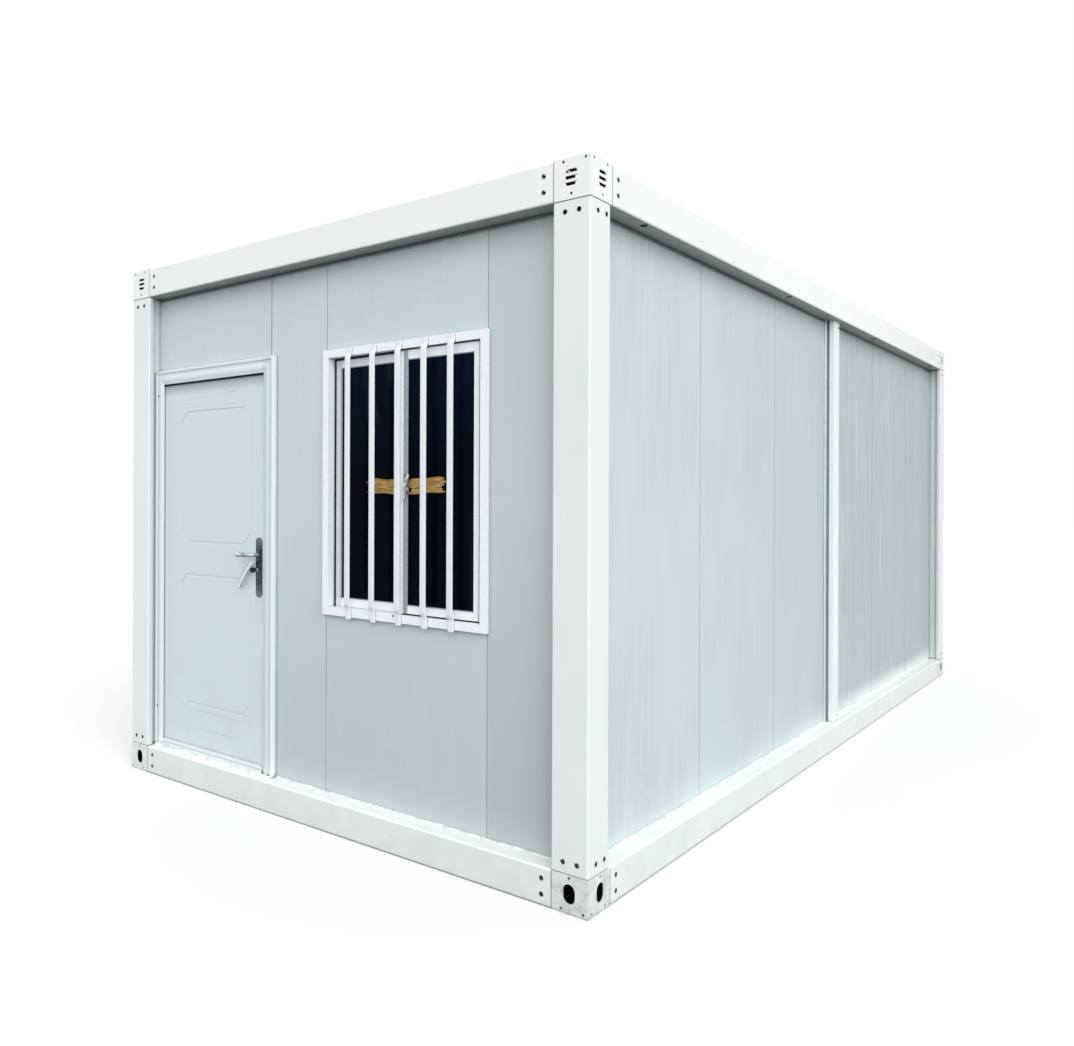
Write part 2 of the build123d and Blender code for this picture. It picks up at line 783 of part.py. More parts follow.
def build_window():
    """Two-track sliding window: fixed outer frame, two sashes and their panes."""
    x0 = -half_width + window_left
    x1 = x0 + window_width
    z0 = window_foot
    z1 = z0 + window_height
    flange = window_flange
    face = front_plane - window_proud
    back = front_plane + wall_thickness
    body = ring_between(x0 + flange, x1 - flange, z0 + flange, z1 - flange, window_band - flange, face, back)
    add("window_frame", body + ring_between(x0, x1, z0, z1, window_band, face, front_plane))

    # Front sash on the right, rear sash on the left
    inner_x0, inner_x1 = x0 + window_band, x1 - window_band
    inner_z0, inner_z1 = z0 + window_band, z1 - window_band - sash_lift_gap
    middle = (inner_x0 + inner_x1) / 2
    front_y = front_plane - sash_gap
    rear_y = front_y + sash_thickness + sash_gap
    sides = [
        (middle - sash_overlap / 2, inner_x1, front_y),
        (inner_x0, middle + sash_overlap / 2, rear_y),
    ]
    inset = sash_stile - glass_seat
    sashes = []
    panes = []
    for left_edge, right_edge, y in sides:
        sash = ring_between(left_edge, right_edge, inner_z0, inner_z1, sash_stile, y, y + sash_thickness)
        glass_y0 = y + (sash_thickness - glass_thickness) / 2
        glass_y1 = glass_y0 + glass_thickness
        glass_x0, glass_x1 = left_edge + inset, right_edge - inset
        pane = block(glass_x0, glass_x1, glass_y0, glass_y1, inner_z0 + inset, inner_z1 - inset)
        sashes.append(sash - pane)
        panes.append(pane)
    add("window_sashes", Compound(children=sashes))
    add("window_glass", Compound(children=panes))


def main():
    """Build every piece and write one file each."""
    build_frame()
    build_floor()
    build_roof()
    build_walls()
    build_door_frame()
    build_leaf()
    build_lock()
    build_window()
    os.makedirs("parts", exist_ok=True)
    for name, shape in pieces.items():
        export_step(shape, "parts/" + name + ".step")


main()
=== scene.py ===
import bmesh
import bpy
import json
import numpy as np
from mathutils import Matrix, Vector


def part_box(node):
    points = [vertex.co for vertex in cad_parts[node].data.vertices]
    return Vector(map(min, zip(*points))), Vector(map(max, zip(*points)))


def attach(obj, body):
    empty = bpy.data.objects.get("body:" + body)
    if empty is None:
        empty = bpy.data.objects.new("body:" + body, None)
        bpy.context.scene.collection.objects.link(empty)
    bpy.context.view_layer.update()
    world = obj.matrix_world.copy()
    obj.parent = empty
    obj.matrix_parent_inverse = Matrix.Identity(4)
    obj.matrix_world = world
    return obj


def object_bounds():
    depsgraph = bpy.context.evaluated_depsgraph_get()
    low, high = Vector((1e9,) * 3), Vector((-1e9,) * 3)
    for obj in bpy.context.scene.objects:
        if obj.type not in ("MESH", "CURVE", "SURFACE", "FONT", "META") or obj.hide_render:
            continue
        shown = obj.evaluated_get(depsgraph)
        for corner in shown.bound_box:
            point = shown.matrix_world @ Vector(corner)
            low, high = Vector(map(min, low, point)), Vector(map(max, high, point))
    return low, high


# Container cabin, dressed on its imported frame. Metres, +Z up, door and window end towards -Y.
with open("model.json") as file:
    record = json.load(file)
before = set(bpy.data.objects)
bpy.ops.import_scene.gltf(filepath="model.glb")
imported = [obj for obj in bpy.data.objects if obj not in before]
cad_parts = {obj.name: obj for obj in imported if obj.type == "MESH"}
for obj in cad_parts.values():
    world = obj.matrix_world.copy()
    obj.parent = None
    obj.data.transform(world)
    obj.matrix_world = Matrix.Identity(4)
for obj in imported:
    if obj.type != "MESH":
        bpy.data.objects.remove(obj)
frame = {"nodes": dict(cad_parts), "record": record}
cad_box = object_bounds()
nodes = frame["nodes"]

# Camera, solved on the frame's edges in the photograph
photo_width, photo_height = 1074, 1046
focal_pixels = 915.4
axis_pixel = (471.1, 494.6)
camera_place = Vector((3.232, -5.852, 1.550))
camera_yaw = np.radians(38.41)
camera_pitch = np.radians(0.01)
camera_roll = np.radians(0.21)

# Lines of the cabin, read from the frame
front_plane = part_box("front_wall_middle")[0].y
right_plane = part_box("right_wall")[1].x
back_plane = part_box("back_wall")[1].y
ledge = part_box("front_wall_middle")[0].z
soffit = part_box("front_wall_middle")[1].z
cabin_low, cabin_high = cad_box
window_low, window_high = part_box("window_frame")
sash_low, sash_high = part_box("window_sashes")
leaf_low, leaf_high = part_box("door_leaf")
lock_low, lock_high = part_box("lock_plates")
lever_low, lever_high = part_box("door_lever")
leaf_crease_levels = (0.290, 0.386, 2.022, 2.084)
frame_low, frame_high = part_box("door_head")
lock_x = (lock_low.x + lock_high.x) / 2
spindle_z = (lever_low.z + lever_high.z) / 2
cylinder_z = spindle_z - 0.075
fitting_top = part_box("floor_corner_front_left")[1].z
fitting_width = 0.160
fitting_x = cabin_high.x - fitting_width
fitting_y = cabin_high.y - fitting_width
joint_line = 0.0032
fitting_skin = 0.0045
corner_signs = ((-1, -1), (-1, 1), (1, -1), (1, 1))

# Bolts of the frame: places, and the dark ring round each
bolt_from_fitting, bolt_spacing = 0.045, 0.061
post_bolt_height, post_bolt_pitch = 0.043, 0.061
post_bolt_end_first, post_bolt_side_first = 0.048, 0.056
bolt_ring = 0.0108


def display(r, g, b):
    """Linear colour of a colour given as it shows on a screen, 0 to 255."""
    c = np.array([r, g, b]) / 255
    linear = np.where(c <= 0.04045, c / 12.92, ((c + 0.055) / 1.055) ** 2.4)
    return (*linear.tolist(), 1.0)


# Shapes, all worked out as whole arrays


def rounded_outline(width, depth, radius, arc=5):
    """Closed rounded rectangle: four quarter circles of the radius, each round its own corner centre."""
    turns = np.linspace(0, np.pi / 2, arc)
    angles = np.concatenate([turns + quarter * np.pi / 2 for quarter in range(4)])
    side = np.repeat([[1, 1], [-1, 1], [-1, -1], [1, -1]], arc, axis=0)
    centre = side * (np.array([width, depth]) / 2 - radius)
    return centre + radius * np.stack([np.cos(angles), np.sin(angles)], -1)


def carried(outlines, path, across, over):
    """Closed skin: outline i, given as (a, b), stands at path point i as a times across plus b times over."""
    path = np.asarray(path, float)
    outlines = np.broadcast_to(outlines, (len(path),) + np.shape(outlines)[-2:])
    across = np.broadcast_to(across, path.shape)[:, None, :]
    over = np.broadcast_to(over, path.shape)[:, None, :]
    rings = path[:, None, :] + outlines[..., :1] * across + outlines[..., 1:] * over
    rows, columns = rings.shape[:2]
    i, j = np.meshgrid(np.arange(rows - 1), np.arange(columns), indexing="ij")
    a = i * columns + j
    b = i * columns + (j + 1) % columns
    quads = np.stack([a, b, b + columns, a + columns], -1).reshape(-1, 4)
    ends = [list(range(columns))[::-1], list(range((rows - 1) * columns, rows * columns))]
    return rings.reshape(-1, 3), quads.tolist() + ends


def turned(profile, centre, axis, sides=14):
    """Skin turned round an axis: the profile's (radius, height) pairs go round in equal steps."""
    axis = np.array(axis, float)
    helper = np.array([0.0, 0.0, 1.0]) if abs(axis[2]) < 0.9 else np.array([1.0, 0.0, 0.0])
    across = np.cross(helper, axis)
    across /= np.linalg.norm(across)
    over = np.cross(axis, across)
    profile = np.asarray(profile, float)
    angles = np.linspace(0, 2 * np.pi, sides, endpoint=False)
    circle = np.stack([np.cos(angles), np.sin(angles)], -1)
    outlines = profile[:, 0, None, None] * circle
    path = np.asarray(centre, float) + profile[:, 1, None] * axis
    return carried(outlines, path, across, over)


def slab(low, high, radius, along=2):
    """Box with rounded edges: an outline carried along one axis, drawn in at both ends on a quarter circle."""
    low, high = np.array(low, float), np.array(high, float)
    a, b = [axis for axis in range(3) if axis != along]
    if along == 1:
        a, b = b, a
    size = high - low
    steps = np.linspace(0, np.pi / 2, 4)
    inset = radius * (1 - np.sin(steps))
    level = radius * (1 - np.cos(steps))
    insets = np.concatenate([inset, inset[::-1]])
    levels = np.concatenate([low[along] + level, high[along] - level[::-1]])
    outlines = []
    for d in insets:
        outlines.append(rounded_outline(size[a] - 2 * d, size[b] - 2 * d, max(radius - d, 1e-5)))
    path = np.tile((low + high) / 2, (len(levels), 1))
    path[:, along] = levels
    return carried(outlines, path, np.eye(3)[a], np.eye(3)[b])


def mirrored_slab(low, high, sx, sy, radius):
    """Rounded box given on the positive sides, put on the sides of the building that both signs name."""
    x0, x1 = sorted((sx * low[0], sx * high[0]))
    y0, y1 = sorted((sy * low[1], sy * high[1]))
    return slab((x0, y0, low[2]), (x1, y1, high[2]), radius)


def placed(name, data):
    """New object in the scene."""
    made = bpy.data.objects.new(name, data)
    bpy.context.scene.collection.objects.link(made)
    return made


def piece(name, shapes, material, body="cabin", sharp=35):
    """One named piece from several closed skins, smooth except at edges sharper than the given angle."""
    points = []
    faces = []
    count = 0
    for shape_points, shape_faces in shapes:
        points.append(np.asarray(shape_points, float))
        faces += [[count + index for index in face] for face in shape_faces]
        count += len(shape_points)
    mesh = bpy.data.meshes.new(name)
    mesh.from_pydata(np.concatenate(points), [], faces)
    working = bmesh.new()
    working.from_mesh(mesh)
    bmesh.ops.remove_doubles(working, verts=working.verts, dist=1e-6)
    bmesh.ops.recalc_face_normals(working, faces=working.faces)
    working.to_mesh(mesh)
    working.free()
    mesh.polygons.foreach_set("use_smooth", np.ones(len(mesh.polygons), bool))
    mesh.set_sharp_from_angle(angle=np.radians(sharp))
    mesh.materials.append(material)
    made = placed(name, mesh)
    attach(made, body)
    return made


# Finishes


class Finish:
    """A node material under construction: patterns on Object coordinates, colours as they show on a screen."""

    def __init__(self, name):
        self.material = bpy.data.materials.new(name)
        self.material.use_nodes = True
        self.tree = self.material.node_tree
        self.shader = self.tree.nodes["Principled BSDF"]
        self.place = self.node("ShaderNodeTexCoord").outputs["Object"]

    def node(self, kind, inputs=None, **settings):
        made = self.tree.nodes.new(kind)
        for key, value in settings.items():
            setattr(made, key, value)
        for key, value in (inputs or {}).items():
            self.feed(made.inputs[key], value)
        return made

    def feed(self, socket, value):
        if isinstance(value, bpy.types.NodeSocket):
            self.tree.links.new(value, socket)
        elif socket.type == "RGBA":
            socket.default_value = display(*value)
        else:
            socket.default_value = value

    def stretched(self, scale):
        return self.node("ShaderNodeMapping", {"Vector": self.place, "Scale": scale}).outputs[0]

    def noise(self, scale, detail=3.0, vector=None, roughness=0.55):
        inputs = {"Vector": vector or self.place, "Scale": scale, "Detail": detail, "Roughness": roughness}
        return self.node("ShaderNodeTexNoise", inputs).outputs["Fac"]

    def math(self, operation, a, b=0.0):
        return self.node("ShaderNodeMath", {0: a, 1: b}, operation=operation).outputs[0]

    def times(self, first, *others):
        for other in others:
            first = self.math("MULTIPLY", first, other)
        return first

    def plus(self, a, b):
        return self.math("ADD", a, b)

    def minus(self, a, b):
        return self.math("SUBTRACT", a, b)

    def size(self, a):
        return self.math("ABSOLUTE", a)

    def above(self, a, b):
        return self.math("GREATER_THAN", a, b)

    def below(self, a, b):
        return self.math("LESS_THAN", a, b)

    def most(self, a, b):
        return self.math("MAXIMUM", a, b)

    def least(self, a, b):
        return self.math("MINIMUM", a, b)

    def at(self, a, b, reach):
        """1 where the two values are no further apart than the reach."""
        made = self.node("ShaderNodeMath", {0: a, 1: b, 2: reach}, operation="COMPARE")
        return made.outputs[0]

    def between(self, value, low, high, to_low=0.0, to_high=1.0):
        inputs = {0: value, 1: low, 2: high, 3: to_low, 4: to_high}
        return self.node("ShaderNodeMapRange", inputs).outputs[0]

    def mix(self, factor, a, b, blend="MIX"):
        made = self.node("ShaderNodeMix", {0: factor, 6: a, 7: b}, data_type="RGBA", blend_type=blend)
        return made.outputs[2]

    def sheen(self, scale, detail, low, high):
        """Roughness that wanders between two values with a noise."""
        return self.between(self.noise(scale, detail), 0.3, 0.7, low, high)

    def clouds(self, scale, detail, low, high, a, b):
        """Two tones that change over with a noise between its two levels."""
        return self.mix(self.between(self.noise(scale, detail), low, high), a, b)

    def rubbed(self, radius, scale, detail, low, high, share):
        """Edges worn in places: up to the share where the noise is high."""
        return self.times(self.edges(radius), self.between(self.noise(scale, detail), low, high, 0.0, share))

    def xyz(self):
        return self.node("ShaderNodeSeparateXYZ", {0: self.place}).outputs

    def edges(self, radius):
        """1 on convex and concave edges, from the turn of a bevelled normal away from the true one."""
        bevelled = self.node("ShaderNodeBevel", {"Radius": radius}, samples=4).outputs[0]
        true = self.node("ShaderNodeNewGeometry").outputs["Normal"]
        along = self.node("ShaderNodeVectorMath", {0: bevelled, 1: true}, operation="DOT_PRODUCT")
        return self.between(along.outputs["Value"], 0.98, 0.80)

    def crevice_shade(self, reach, strength=1.0):
        """Painted shade: rises from 0 in the open to the strength in creases narrower than the reach."""
        inputs = {"Distance": reach}
        open_share = self.node("ShaderNodeAmbientOcclusion", inputs, samples=6).outputs["AO"]
        return self.between(open_share, 0.80, 0.35, 0.0, strength)

    def bump(self, height, distance, strength=1.0):
        inputs = {"Height": height, "Distance": distance, "Strength": strength}
        made = self.node("ShaderNodeBump", inputs)
        self.feed(self.shader.inputs["Normal"], made.outputs[0])

    def set(self, colour=None, roughness=None, metallic=None, specular=None):
        inputs = {"Base Color": colour, "Roughness": roughness, "Metallic": metallic}
        inputs["Specular IOR Level"] = specular
        for key, value in inputs.items():
            if value is not None:
                self.feed(self.shader.inputs[key], value)
        return self.material


def bolt_dark_rings(f, far_x, far_y, z):
    """Dark rings on the paint round the frame's bolts; each pair of bolts is folded onto one centre."""
    floor_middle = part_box("floor_beam_front")[1].z / 2
    roof_middle = (soffit + cabin_high.z) / 2
    beam_reach = fitting_width + bolt_from_fitting
    rings = 0.0
    end_face = (far_x, cabin_high.x, post_bolt_end_first, f.above(far_y, cabin_high.y - 0.004))
    side_face = (far_y, cabin_high.y, post_bolt_side_first, f.above(far_x, cabin_high.x - 0.004))
    for across, half, first, on_face in (end_face, side_face):
        on_beam = f.minus(across, half - beam_reach)
        pair_middle = half - first - post_bolt_pitch / 2
        on_post = folded(f, across, pair_middle, post_bolt_pitch / 2)
        spots = []
        for middle in (floor_middle, roof_middle):
            spots.append((on_beam, folded(f, z, middle, bolt_spacing / 2)))
        for level in (ledge + post_bolt_height, soffit - post_bolt_height):
            spots.append((on_post, f.minus(z, level)))
        for a, b in spots:
            squares = f.plus(f.times(a, a), f.times(b, b))
            ring = f.between(squares, bolt_ring ** 2, (0.92 * bolt_ring) ** 2, 0.0, 0.75)
            rings = f.most(rings, f.times(ring, on_face))
    return rings


def folded(f, value, middle, half):
    """Distance of a value from the nearer of two places, which lie the half on both sides of the middle."""
    away = f.size(f.minus(value, middle))
    return f.minus(away, half)


def frame_body(f, at_soffit):
    """Sprayed tone of the frame: clouds, whiter roof frame, low dust, and painted light: a highlight on the
    ledge top, shade towards the back end, grey shade on the soffit and on the post returns.
    """
    x, y, z = f.xyz()
    body = f.mix(f.between(z, soffit - 0.001, soffit + 0.001), (240, 245, 245), (248, 251, 252))
    # Painted highlight on the top of the ledge.
    body = f.mix(f.times(f.at(z, ledge, 0.0025), 0.8), body, (254, 255, 255))
    base_tone = f.clouds(1.7, 2.0, 0.35, 0.65, body, f.mix(0.12, body, (205, 220, 224)))
    # Painted shade: greyer towards the back end.
    base_tone = f.mix(f.between(y, 0.0, 2.9, 0.0, 0.75), base_tone, (221, 226, 226))
    dust = f.times(f.between(z, 0.30, 0.0), f.between(f.noise(9.0, 5.0), 0.35, 0.75, 0.05, 0.40))
    toned = f.mix(dust, base_tone, (205, 210, 208))
    # Painted shade: grey on the soffit under the roof beams.
    toned = f.mix(f.times(at_soffit, 0.95), toned, (156, 160, 157))
    # Painted shade on the returns of the front posts.
    behind_face = f.times(f.above(y, cabin_low.y + 0.004), f.below(y, front_plane - 0.002))
    in_return = f.times(f.below(f.size(x), fitting_x + 0.070), behind_face)
    on_post = f.times(f.above(z, fitting_top), f.below(z, soffit - 0.003))
    return f.mix(f.times(in_return, on_post, 0.6), toned, (190, 201, 201))


def frame_coat():
    """Off-white sprayed steel with scuffed feet, dark fitting joints and bolt rings, painted shade in creases,
    and unlit hidden faces.
    """
    f = Finish("frame_coat")
    x, y, z = f.xyz()
    far_x, far_y = f.size(x), f.size(y)
    at_soffit = f.at(z, soffit, 0.0012)
    foot = f.below(z, fitting_top)
    in_fitting = f.most(foot, f.above(z, soffit))
    at_corner = f.times(f.above(far_x, fitting_x), f.above(far_y, fitting_y))
    scuffs = f.between(f.noise(24.0, 6.0, roughness=0.7), 0.40, 0.66, 0.05, 0.65)
    most_used = f.times(f.above(x, 0.0), f.below(y, 0.0))
    scuffs = f.times(scuffs, f.between(most_used, 0.0, 1.0, 0.25, 1.0))
    coat = f.mix(f.times(foot, at_corner, scuffs), frame_body(f, at_soffit), (176, 180, 182))
    to_joint = f.least(f.size(f.minus(far_x, fitting_x)), f.size(f.minus(far_y, fitting_y)))
    joint = f.between(to_joint, joint_line, 0.4 * joint_line)
    coat = f.mix(f.times(joint, in_fitting, 0.75), coat, (70, 76, 78))
    coat = f.mix(bolt_dark_rings(f, far_x, far_y, z), coat, (46, 51, 53))
    specks = f.between(f.noise(95.0, 2.0), 0.735, 0.76, 0.0, 0.35)
    marks = f.most(f.rubbed(0.003, 38.0, 4.0, 0.50, 0.66, 0.35), specks)
    # Painted shade in creases, weaker on the soffit.
    crease_shade = f.times(f.crevice_shade(0.020, 0.75), f.between(at_soffit, 0.0, 1.0, 1.0, 0.35))
    coat = f.mix(crease_shade, f.mix(marks, coat, (150, 155, 155)), (96, 102, 104))
    within_x = f.below(far_x, cabin_high.x - fitting_skin)
    within_y = f.below(far_y, cabin_high.y - fitting_skin)
    within_z = f.times(f.above(z, 0.003), f.below(z, cabin_high.z - 0.003))
    hidden = f.most(at_corner, f.below(z, ledge - 0.006))
    unlit = f.times(within_x, within_y, within_z, hidden, in_fitting)
    f.bump(f.noise(420.0, 2.0), 0.00012, 0.6)
    return f.set(f.mix(unlit, coat, (14, 16, 17)), f.sheen(14.0, 3.0, 0.30, 0.42), specular=0.35)


def wall_tones(f, front):
    """Light and deep tone of the panel skin: green and lilac clouds, deeper patches near the door, and both
    tones darker towards the back end as painted shade.
    """
    y = f.xyz()[1]
    # Painted shade: the skin greys towards the back end.
    base = f.mix(f.between(y, -2.4, 2.2), (212, 221, 224), (178, 190, 191))
    green = f.mix(f.between(f.noise(0.8, 2.0), 0.38, 0.62, 0.0, 0.14), base, (190, 228, 216))
    lilac_share = f.between(f.noise(1.1, 2.0, f.stretched((1.0, 1.0, 0.6))), 0.46, 0.66, 0.0, 0.13)
    lilac_share = f.times(lilac_share, f.between(y, 0.6, -0.6, 0.2, 1.0))
    light = f.mix(lilac_share, green, (206, 200, 236))
    patchy = f.between(f.noise(2.6, 2.0, f.stretched((1.0, 1.0, 0.5))), 0.40, 0.62, 0.12, 1.0)
    near_share = f.times(patchy, 0.26, f.between(y, 0.4, -0.4))
    # Share of the deep tone: patches near the door, plus painted shade towards the back end.
    share = f.plus(near_share, f.between(y, -0.4, 0.4, 0.0, 0.70))
    side_deep = f.mix(share, light, (160, 171, 174))
    return light, f.mix(front, side_deep, f.mix(0.06, light, (170, 178, 184)))


def along_rolls(f, across, drawn_out):
    """Noise coordinates that run round the walls, drawn out upwards as the skin was rolled."""
    x, y, z = f.xyz()
    place = {0: f.plus(x, y), 1: across, 2: f.times(z, drawn_out)}
    return f.node("ShaderNodeCombineXYZ", place).outputs[0]


def wall_light(f, coat, front, fine):
    """Glints and a lit foot on the side walls, painted shade low on the front wall and the corner post's
    painted shadow beside it, and a dark ragged shade under the roof.
    """
    x, y, z = f.xyz()
    glints = f.between(f.noise(46.0, 1.0, along_rolls(f, 3.0, 0.006)), 0.63, 0.70)
    glints = f.times(glints, f.between(y, -1.2, 0.6, 0.15, 0.50))
    glints = f.times(glints, f.between(f.noise(1.7, 1.0), 0.42, 0.60))
    coat = f.mix(f.times(glints, f.minus(1.0, front)), coat, (226, 235, 234))
    foot_glow = f.times(f.between(z, ledge + 0.11, ledge + 0.01, 0.0, 0.6), f.between(y, -1.0, 1.0))
    coat = f.mix(foot_glow, coat, (246, 250, 250))
    # Painted shade low on the front wall, and the corner post's painted shadow on the front wall beside it.
    low_front_shade = f.times(front, f.between(z, 1.5, 0.2, 0.0, 0.45))
    post_shadow = f.times(front, f.between(x, 0.965, 0.985, 0.0, 0.22))
    coat = f.mix(f.plus(low_front_shade, post_shadow), coat, (172, 180, 181))
    ragged = f.plus(z, f.times(fine, 0.020))
    coat = f.mix(f.between(ragged, soffit - 0.14, soffit, 0.0, 0.20), coat, (120, 128, 131))
    return f.mix(f.between(ragged, soffit - 0.014, soffit + 0.002, 0.0, 0.85), coat, (66, 73, 76))


def wall_coat():
    """Matt grey-white panel skin with fine upright roll lines, and scuffs near the foot."""
    f = Finish("wall_coat")
    y, z = f.xyz()[1:3]
    front = f.below(y, front_plane + 0.004)
    upright = along_rolls(f, 0.0, 0.040)
    fine = f.noise(150.0, 3.0, upright, 0.7)
    streaks = f.plus(f.times(fine, 0.4), f.times(f.noise(34.0, 3.0, upright, 0.6), 0.6))
    broad = f.noise(9.0, 2.0, upright)
    light, deep = wall_tones(f, front)
    lined = f.mix(f.between(streaks, 0.38, 0.62), deep, light)
    lined = f.mix(f.between(broad, 0.35, 0.65), f.mix(0.05, lined, (180, 188, 190)), lined)
    lined = wall_light(f, lined, front, fine)
    scuff = f.times(f.between(z, 0.9, 0.15), f.between(f.noise(26.0, 4.0), 0.62, 0.72, 0.0, 0.25))
    marked = f.mix(f.most(scuff, f.times(f.edges(0.002), 0.20)), lined, (165, 170, 168))
    # Painted shade in creases.
    colour = f.mix(f.crevice_shade(0.030, 0.55), marked, (84, 92, 96))
    f.bump(f.plus(f.times(streaks, 0.6), broad), 0.00045, 0.35)
    return f.set(colour, f.between(streaks, 0.3, 0.7, 0.42, 0.54), specular=0.3)


def soften_upright_creases(f):
    """The normal under the bump loses most of its sideways lean, so that level creases show most."""
    def turn(vector, start, end):
        settings = {"vector_type": "NORMAL", "convert_from": start, "convert_to": end}
        return f.node("ShaderNodeVectorTransform", {0: vector}, **settings).outputs[0]

    own = turn(f.node("ShaderNodeNewGeometry").outputs["Normal"], "WORLD", "OBJECT")
    lean = f.node("ShaderNodeSeparateXYZ", {0: own}).outputs
    sideways = f.between(f.size(lean[1]), 0.30, 0.50, 1.0, 0.15)
    kept = f.node("ShaderNodeCombineXYZ", {0: f.times(lean[0], sideways), 1: lean[1], 2: lean[2]}).outputs[0]
    bump = f.shader.inputs["Normal"].links[0].from_node
    f.feed(bump.inputs["Normal"], turn(kept, "OBJECT", "WORLD"))


def door_coat():
    """Pale blue-grey sprayed leaf: faint clouds, low dust, broken level crease lines darkened as painted shade,
    light painted shade in creases, a shaded top edge.
    """
    f = Finish("door_coat")
    x, _, z = f.xyz()
    base_tone = f.clouds(1.6, 2.0, 0.36, 0.64, (216, 230, 230), (216, 228, 231))
    worn = f.rubbed(0.0025, 40.0, 3.0, 0.40, 0.62, 0.10)
    low = f.times(f.between(z, 0.75, 0.18), f.between(f.noise(7.0, 4.0), 0.4, 0.7))
    toned = f.mix(f.times(low, 0.25), base_tone, (196, 202, 202))
    # Light painted shade in creases, over the worn edges and dust.
    colour = f.mix(f.crevice_shade(0.006, 0.15), f.mix(worn, toned, (170, 178, 178)), (110, 118, 122))
    creases = f.times(f.between(x, -0.62, -0.66), f.between(x, -1.14, -1.10))
    lines = 0.0
    for level in leaf_crease_levels:
        lines = f.most(lines, f.between(f.size(f.minus(z, level)), 0.0045, 0.0010))
    lines = f.times(lines, creases, f.between(f.noise(5.0, 2.0), 0.38, 0.55))
    # Painted shade along the crease lines.
    colour = f.mix(f.times(lines, 0.30), colour, (172, 186, 188))
    shaded = f.between(z, leaf_high.z - 0.085, leaf_high.z - 0.030, 0.0, 0.55)
    colour = f.mix(shaded, colour, (96, 106, 107))
    f.bump(f.plus(f.times(f.noise(260.0, 3.0), 0.1), lines), 0.0020, 0.5)
    soften_upright_creases(f)
    return f.set(colour, f.sheen(11.0, 3.0, 0.36, 0.46), specular=0.35)


def door_frame_coat():
    """White sprayed door frame: painted highlights on the folds, painted shade in the creases, a greyer band
    beside the lock.
    """
    f = Finish("door_frame_coat")
    base_tone = f.clouds(2.2, 2.0, 0.35, 0.65, (226, 237, 238), (229, 237, 240))
    worn = f.rubbed(0.002, 55.0, 3.0, 0.45, 0.65, 0.3)
    x = f.xyz()[0]
    beside_lock = f.times(f.between(x, -0.430, -0.424), f.between(x, -0.364, -0.368))
    banded = f.mix(f.times(beside_lock, 0.55), base_tone, (196, 209, 211))
    # Painted highlights on the folds.
    fold_highlights = f.mix(f.times(f.edges(0.0025), 0.6), banded, (252, 254, 254))
    # Painted shade in the creases.
    colour = f.mix(f.crevice_shade(0.020, 1.0), f.mix(worn, fold_highlights, (176, 183, 184)), (80, 88, 92))
    f.bump(f.noise(380.0, 2.0), 0.00012, 0.6)
    return f.set(colour, f.sheen(15.0, 3.0, 0.30, 0.42), specular=0.35)


def window_plastic():
    """Bright white glossy profile: faint draw lines, dirt on edges and in corners with painted shade in the
    corners, and painted shade on the rear sash's left stile.
    """
    f = Finish("window_plastic")
    lines = f.noise(240.0, 2.0, f.stretched((1.0, 1.0, 0.02)))
    clean = f.mix(f.between(lines, 0.3, 0.7), (246, 251, 254), (248, 252, 254))
    dirt = f.rubbed(0.002, 60.0, 4.0, 0.48, 0.66, 0.30)
    # Painted shade in the corners, over dirt on the edges.
    colour = f.mix(f.crevice_shade(0.012, 0.85), f.mix(dirt, clean, (170, 176, 180)), (92, 98, 102))
    x, y, _ = f.xyz()
    # Painted shade on the rear sash's left stile.
    rear = f.times(f.above(y, sash_low.y + 0.020), f.below(x, sash_low.x + 0.048))
    colour = f.mix(f.times(rear, 0.6), colour, (190, 200, 203))
    f.bump(lines, 0.0001, 0.4)
    return f.set(colour, f.sheen(20.0, 2.0, 0.22, 0.32), specular=0.4)


def window_glass():
    """Dark pane: the unlit room as deep navy, weak upright bands, paler patches high up, faint dust."""
    f = Finish("window_glass")
    bands = f.noise(7.0, 2.0, f.stretched((1.0, 1.0, 0.04)))
    x, _, height = f.xyz()
    depth = f.mix(f.between(height, 1.6, 2.2), (4, 10, 19), (8, 17, 38))
    colour = f.mix(f.between(bands, 0.52, 0.66, 0.0, 0.65), depth, (28, 36, 50))
    patchy = f.between(f.noise(9.0, 1.0, f.stretched((1.0, 1.0, 0.25))), 0.50, 0.56, 0.0, 0.55)
    patches = f.times(f.between(height, 1.86, 1.90), patchy, f.between(x, 0.46, 0.44))
    colour = f.mix(patches, colour, (38, 46, 56))
    dust = f.between(f.noise(60.0, 5.0), 0.62, 0.8, 0.0, 0.03)
    f.bump(f.noise(3.0, 1.0), 0.0004, 0.15)
    f.shader.inputs["IOR"].default_value = 1.12
    f.shader.inputs["Specular IOR Level"].default_value = 0.2
    return f.set(f.mix(dust, colour, (120, 125, 130)), f.sheen(20.0, 3.0, 0.03, 0.07))


def zinc():
    """Galvanized sheet: patchy crystals in dull grey."""
    f = Finish("zinc")
    cells = f.node("ShaderNodeTexVoronoi", {"Vector": f.place, "Scale": 60.0}, feature="F1")
    grey = f.node("ShaderNodeRGBToBW", {0: cells.outputs["Color"]}).outputs[0]
    colour = f.mix(f.between(grey, 0.2, 0.8), (150, 156, 160), (184, 190, 193))
    stained = f.mix(f.between(f.noise(3.0, 4.0), 0.5, 0.75, 0.0, 0.4), colour, (120, 122, 120))
    f.bump(grey, 0.0001, 0.3)
    return f.set(stained, f.between(grey, 0.0, 1.0, 0.38, 0.55), metallic=0.55)


